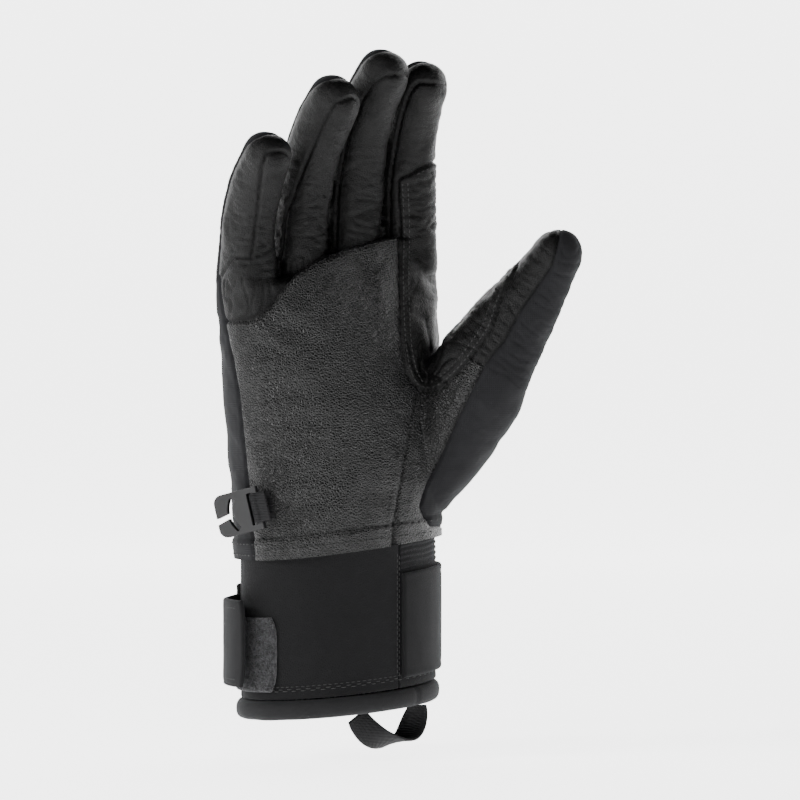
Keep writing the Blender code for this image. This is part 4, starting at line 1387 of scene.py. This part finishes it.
def tape(name, centres, acrosses, width, thick):
    """Flat webbing along a line of centres."""
    rings = []
    for i, centre in enumerate(centres):
        ahead = unit(centres[min(i + 1, len(centres) - 1)] - centres[max(0, i - 1)])
        across = unit(acrosses[i] - ahead * (acrosses[i] @ ahead))
        normal = np.cross(ahead, across)
        rings.append([centre + across * width / 2 * u + normal * thick / 2 * v for u, v in TAPE_SECTION])
    return finish_mesh(loft(name, rings))


def build_hang_loop(materials):
    first, last = (cuff_point(HEM_HEIGHT - 4.5, d, -LOOP_INSET) for d in (-10, 47))
    along = unit(last - first)
    out = unit(np.cross(along, (0, 0, 1)))
    up = np.cross(out, along)
    middle = (first + last) / 2
    route = curve_through([(a, drop, o) for a, drop, o, _ in LOOP_ROUTE], 0.7)
    keys = np.array([(a, drop) for a, drop, _, _ in LOOP_ROUTE])
    lengths = np.concatenate([[0], np.cumsum(np.linalg.norm(np.diff(keys, axis=0), axis=1))])
    twist = np.interp(np.linspace(0, lengths[-1], len(route)), lengths, [row[3] for row in LOOP_ROUTE])
    centres = [middle + along * a + up * drop + out * o for a, drop, o in route]
    acrosses = []
    for i, turn in enumerate(np.radians(twist)):
        ahead = unit(centres[min(i + 1, len(centres) - 1)] - centres[max(0, i - 1)])
        flat = unit(np.cross(out, ahead))
        face = np.cross(ahead, flat)
        acrosses.append(flat * math.cos(turn) + face * math.sin(turn))
    loop = tape("hanging_loop", centres, acrosses, 10.5, 1.0)
    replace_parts(dress(loop, materials["webbing"], "hang_loop"), "hang_loop")
    anchor = band("loop_base", -20, 57, HEM_HEIGHT - 2.5, HEM_HEIGHT + 7, level(-LOOP_INSET - 0.6), 1.2, 0.4)
    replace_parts(dress(anchor, materials["webbing"], "hand"), "loop_anchor")


CLIP_BAR = np.array([-46.0, -14.0, 84.8])
CLIP_OUT = np.array([-0.82255, -0.56869, 0.0])
CLIP_END = np.array([-0.5518, 0.7981, -0.2419])
CLIP_UP = np.array([-0.1376, 0.1990, 0.9703])


def clip_place(u, v, w):
    """A point of the clip: u from its bar to its end, v up along the bar, w outwards."""
    return CLIP_BAR + CLIP_END * u + CLIP_UP * v + CLIP_OUT * w


def clip_prism(name, outline, low, high):
    return loft(name, [[clip_place(u, v, w) for u, v in outline] for w in (low, high)])


def arc(centre, radius, start, stop, count):
    return [(centre[0] + radius * math.cos(t), centre[1] + radius * math.sin(t))
            for t in np.radians(np.linspace(start, stop, count))]


def build_clip(materials):
    half, corner = 8.6, 3.6
    outline = [(-1.1, -half), (12.5, -half)] + arc((14.6, -half + corner), corner, -90, 0, 12)
    outline += arc((14.6, half - corner), corner, 0, 90, 12) + [(-1.1, half)]
    hook = clip_prism("clip", outline, -1.2, 1.2)
    finish_mesh(hook)
    cuts = {
        "window": [(1.1, -6.4), (3.4, -6.4), (3.4, 6.4), (1.1, 6.4)],
        "slot": arc((2.6, 0), 8.0, -44, 38, 24) + arc((2.6, 0), 10.4, 38, -44, 24),
        "mouth": [(12.2, -1.3), (20.5, -3.4), (20.5, -0.9), (12.2, 0.7)],
    }
    tools = [finish_mesh(clip_prism("cut_" + name, shape, -5, 5)) for name, shape in cuts.items()]
    for tool in tools:
        add_modifier(hook, "BOOLEAN", object=tool, solver="EXACT")
    add_modifier(hook, "REMESH", mode="VOXEL", voxel_size=0.2 * MM)
    add_modifier(hook, "SMOOTH", iterations=4)
    apply_modifiers(hook)
    for tool in tools:
        bpy.data.objects.remove(tool)
    hook.data.shade_smooth()
    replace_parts(dress(hook, materials["black_plastic"], "clip_hook"), "clip_hook")

    room = 1.75 + 0.5
    path = [(-5.2, -2.4)] + arc((0, 0), room, -120, 120, 15) + [(-5.2, 2.4)]
    route = resample([(u, w, 0) for u, w in path], 0.5)
    centres = [clip_place(u, 0, w) for u, w, _ in route]
    webbing = tape("clip_tape", centres, [CLIP_UP] * len(centres), 11.8, 1.0)
    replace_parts(dress(webbing, materials["webbing"], "hand"), "clip_webbing")


def build_print(skin, materials):
    """Small raised reflective dots on the back, on the little finger side."""
    surface = surface_of(skin)
    verts, faces = [], []
    for i, height in enumerate(np.arange(96.6, 116, 1.55)):
        for degrees in np.arange(213 + (i % 2) * 1.2, 252, 2.4):
            out = outwards(degrees)
            found = cast(surface, out * 120 + np.array([0, 0, height + 0.11 * out[0] * 46]), -out)
            if found is None:
                continue
            hit, normal = found
            side = unit(np.cross(normal, (0, 0, 1)))
            up = np.cross(side, normal)
            first = len(verts)
            for radius, lift in ((0.55, -0.1), (0.5, 0.16), (0.3, 0.22)):
                for k in range(8):
                    turn = math.pi * k / 4
                    verts.append(hit + (side * math.cos(turn) + up * math.sin(turn)) * radius + normal * lift)
            faces += ring_faces(first, 3, 8)
            faces.append(tuple(first + 16 + k for k in range(8)))
    dots = object_from("print_dots", verts, faces)
    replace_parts(dress(dots, materials["reflective_print"], "hand"), "back_print")


# ---------------------------------------------------------------- materials


class Shader:
    """A material whose shader nodes are added by short calls. Coordinates are in metres."""

    def __init__(self, name, roughness, specular, tone):
        self.material = bpy.data.materials.new(name)
        self.material.use_nodes = True
        self.tree = self.material.node_tree
        self.bsdf = self.tree.nodes["Principled BSDF"]
        self.bsdf.inputs["Roughness"].default_value = roughness
        self.bsdf.inputs["Specular IOR Level"].default_value = specular
        self.bsdf.inputs["Base Color"].default_value = (*tone, 1)
        self.place = self.node("ShaderNodeTexCoord").outputs["Object"]
        self.height = None

    def node(self, kind, **values):
        node = self.tree.nodes.new(kind)
        for name, value in values.items():
            setattr(node, name, value)
        return node

    def link(self, output, socket):
        self.tree.links.new(output, socket)

    def noise(self, scale, detail=3.0, roughness=0.55, distortion=0.0, stretch=None):
        node = self.node("ShaderNodeTexNoise")
        node.inputs["Scale"].default_value = scale
        node.inputs["Detail"].default_value = detail
        node.inputs["Roughness"].default_value = roughness
        node.inputs["Distortion"].default_value = distortion
        self.link(self.mapped(stretch), node.inputs["Vector"])
        return node.outputs["Fac"]

    def cells(self, scale, feature="DISTANCE_TO_EDGE", stretch=None):
        node = self.node("ShaderNodeTexVoronoi", feature=feature)
        node.inputs["Scale"].default_value = scale
        warp = self.node("ShaderNodeTexNoise")
        warp.inputs["Scale"].default_value = scale * 0.7
        mix = self.node("ShaderNodeVectorMath", operation="MULTIPLY_ADD")
        self.link(warp.outputs["Color"], mix.inputs[0])
        mix.inputs[1].default_value = (0.5 / scale,) * 3
        self.link(self.mapped(stretch), mix.inputs[2])
        self.link(self.place, warp.inputs["Vector"])
        self.link(mix.outputs[0], node.inputs["Vector"])
        return node.outputs["Distance"]

    def waves(self, scale, direction, distortion=0.0):
        node = self.node("ShaderNodeTexWave", bands_direction=direction)
        node.inputs["Scale"].default_value = scale
        node.inputs["Distortion"].default_value = distortion
        self.link(self.place, node.inputs["Vector"])
        return node.outputs["Fac"]

    def mapped(self, stretch):
        if stretch is None:
            return self.place
        node = self.node("ShaderNodeMapping")
        node.inputs["Scale"].default_value = stretch
        self.link(self.place, node.inputs["Vector"])
        return node.outputs[0]

    def ramp(self, value, low, high, out_low=0.0, out_high=1.0):
        node = self.node("ShaderNodeMapRange")
        numbers = {"From Min": low, "From Max": high, "To Min": out_low, "To Max": out_high}
        for name, number in numbers.items():
            node.inputs[name].default_value = number
        self.link(value, node.inputs["Value"])
        return node.outputs["Result"]

    def combine(self, first, second, operation="ADD"):
        node = self.node("ShaderNodeMath", operation=operation)
        for value, socket in ((first, node.inputs[0]), (second, node.inputs[1])):
            if isinstance(value, (int, float)):
                socket.default_value = value
            else:
                self.link(value, socket)
        return node.outputs[0]

    def tones(self, value, dark, light):
        node = self.node("ShaderNodeMix", data_type="RGBA")
        self.link(value, node.inputs["Factor"])
        colours = [socket for socket in node.inputs if socket.type == "RGBA"]
        colours[0].default_value = (*dark, 1)
        colours[1].default_value = (*light, 1)
        self.link([o for o in node.outputs if o.type == "RGBA"][0], self.bsdf.inputs["Base Color"])

    def bump(self, height, depth, strength=1.0):
        node = self.node("ShaderNodeBump")
        node.inputs["Strength"].default_value = strength
        node.inputs["Distance"].default_value = depth * MM
        self.link(height, node.inputs["Height"])
        if self.height:
            self.link(self.height, node.inputs["Normal"])
        self.height = node.outputs["Normal"]
        self.link(self.height, self.bsdf.inputs["Normal"])

    def sheen(self, weight, roughness, tint):
        self.bsdf.inputs["Sheen Weight"].default_value = weight
        self.bsdf.inputs["Sheen Roughness"].default_value = roughness
        self.bsdf.inputs["Sheen Tint"].default_value = (*tint, 1)


def leather(name, cell, depth, roughness, tone, specular):
    """Pebbled grain with pores, rougher between the pebbles, with painted shade darkening the colour in the
    hollows between them.
    """
    shader = Shader(name, roughness, specular, tone)
    pebbles = shader.ramp(shader.cells(cell), 0.0, 0.28)
    pores = shader.noise(cell * 2.6, 2.0)
    shader.bump(pebbles, depth, 0.9)
    shader.bump(pores, depth * 0.35, 0.6)
    wear = shader.noise(55, 4.0)
    rough = shader.combine(shader.ramp(wear, 0.3, 0.7, roughness - 0.03, roughness + 0.04),
                           shader.ramp(pebbles, 0, 1, 0.1, 0.0))
    shader.link(rough, shader.bsdf.inputs["Roughness"])
    # Painted shade: the colour drops to half its tone in the hollows between the pebbles, where the bump
    # sinks.
    shader.tones(pebbles, [c * 0.5 for c in tone], tone)
    return shader.material


def softshell():
    """Matt woven cloth."""
    shader = Shader("softshell", 0.85, 0.12, (0.011, 0.011, 0.012))
    weave = shader.combine(shader.waves(420, "X"), shader.waves(420, "Z"), "MULTIPLY")
    shader.bump(weave, 0.08, 0.6)
    shader.bump(shader.noise(900, 2.0), 0.08, 0.4)
    shader.tones(shader.noise(160, 4.0), (0.004, 0.004, 0.0045), (0.008, 0.008, 0.009))
    shader.sheen(0.04, 0.5, (0.6, 0.62, 0.65))
    return shader.material


def knit(name, tone, scale, depth):
    """Fine knitted cloth laminated on foam."""
    shader = Shader(name, 0.9, 0.15, tone)
    loops = shader.cells(scale, stretch=(1.0, 1.0, 0.6))
    shader.bump(shader.ramp(loops, 0, 0.4), depth, 0.8)
    shader.tones(shader.noise(140, 4.0), [c * 0.7 for c in tone], [c * 1.2 for c in tone])
    shader.sheen(0.06, 0.5, (0.6, 0.62, 0.65))
    return shader.material


def webbing_material():
    shader = Shader("webbing", 0.66, 0.15, (0.006, 0.006, 0.0065))
    weave = shader.combine(shader.waves(330, "DIAGONAL"), shader.waves(500, "Z", 1.0))
    shader.bump(weave, 0.16, 0.9)
    shader.tones(shader.noise(300, 3.0), (0.0015, 0.0015, 0.002), (0.005, 0.005, 0.0055))
    return shader.material


def fuzzy(name, tone, scale):
    """Napped pile, mottled light and dark."""
    shader = Shader(name, 0.95, 0.15, tone)
    shader.bump(shader.noise(scale, 5.0, 0.75, 2.0), 0.8, 1.0)
    shader.tones(shader.ramp(shader.noise(scale * 0.8, 4.0, 0.7), 0.42, 0.58), [c * 0.2 for c in tone],
                 [c * 2.2 for c in tone])
    shader.sheen(0.35, 0.4, (0.7, 0.7, 0.72))
    return shader.material


def plain_plastic():
    shader = Shader("plastic", 0.42, 0.28, (0.005, 0.005, 0.0055))
    shader.bump(shader.noise(1400, 2.0), 0.04, 0.5)
    rough = shader.ramp(shader.noise(180, 4.0), 0.3, 0.7, 0.36, 0.5)
    shader.link(rough, shader.bsdf.inputs["Roughness"])
    return shader.material


def thread_material(name, tone):
    shader = Shader(name, 0.7, 0.25, (tone,) * 3)
    shader.bump(shader.waves(1600, "DIAGONAL"), 0.05, 0.8)
    shader.tones(shader.noise(500), (tone * 0.6,) * 3, (tone * 1.4,) * 3)
    return shader.material


def print_material():
    shader = Shader("print", 0.35, 0.6, (0.42, 0.43, 0.44))
    shader.tones(shader.noise(700), (0.34, 0.35, 0.36), (0.5, 0.51, 0.52))
    shader.bump(shader.noise(2500, 2.0), 0.03, 0.6)
    return shader.material


def build_materials():
    return {
        "black_leather": leather("black_leather", 1250, 0.13, 0.39, (0.002, 0.002, 0.002), 0.14),
        "grained_leather": leather("grained_leather", 950, 0.32, 0.32, (0.003, 0.003, 0.003), 0.29),
        "softshell": softshell(),
        "neoprene": knit("neoprene", (0.0028, 0.0028, 0.0031), 1500, 0.12),
        # Painted light: the hem's knit is about three times as light as the neoprene, standing in for light
        # bounced up onto the hem from the floor.
        "strap": knit("strap", (0.003, 0.003, 0.0033), 2000, 0.06),
        "hem_knit_painted_bounce_light": knit("hem_knit_painted_bounce_light", (0.0085, 0.0085, 0.009), 1800, 0.08),
        "fleece": fuzzy("fleece", (0.02, 0.02, 0.022), 700),
        "hook_and_loop": fuzzy("hook_and_loop", (0.014, 0.014, 0.015), 900),
        "webbing": webbing_material(),
        "black_plastic": plain_plastic(),
        "reflective_print": print_material(),
        "thread": thread_material("thread", 0.016),
        "cuff_thread": thread_material("cuff_thread", 0.02),
    }


# ---------------------------------------------------------------- main


def main():
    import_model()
    digits = {name: Digit(name, *values) for name, values in DIGITS.items()}
    order = list(digits.values())
    materials = build_materials()
    build_stage()
    skin = Skin(digits)
    trim_bottom(skin)
    skin.label()
    ends, _ = skin.boundary()
    lines = (skin.points[ends[:, 0]] + skin.points[ends[:, 1]]) / 2
    move = inflate(skin, lines)
    skin.points = skin.points + move + skin.normals * relief(skin)[:, None]
    skin.normals = normals_of(skin.points, skin.triangles)
    pieces = split_skin(skin, order, materials)
    replace_skin_nodes(pieces, order)
    skin_stitches(skin, order, materials)
    build_print(skin, materials)
    build_cuff(materials)
    build_lining(materials)
    build_hang_loop(materials)
    build_clip(materials)


main()
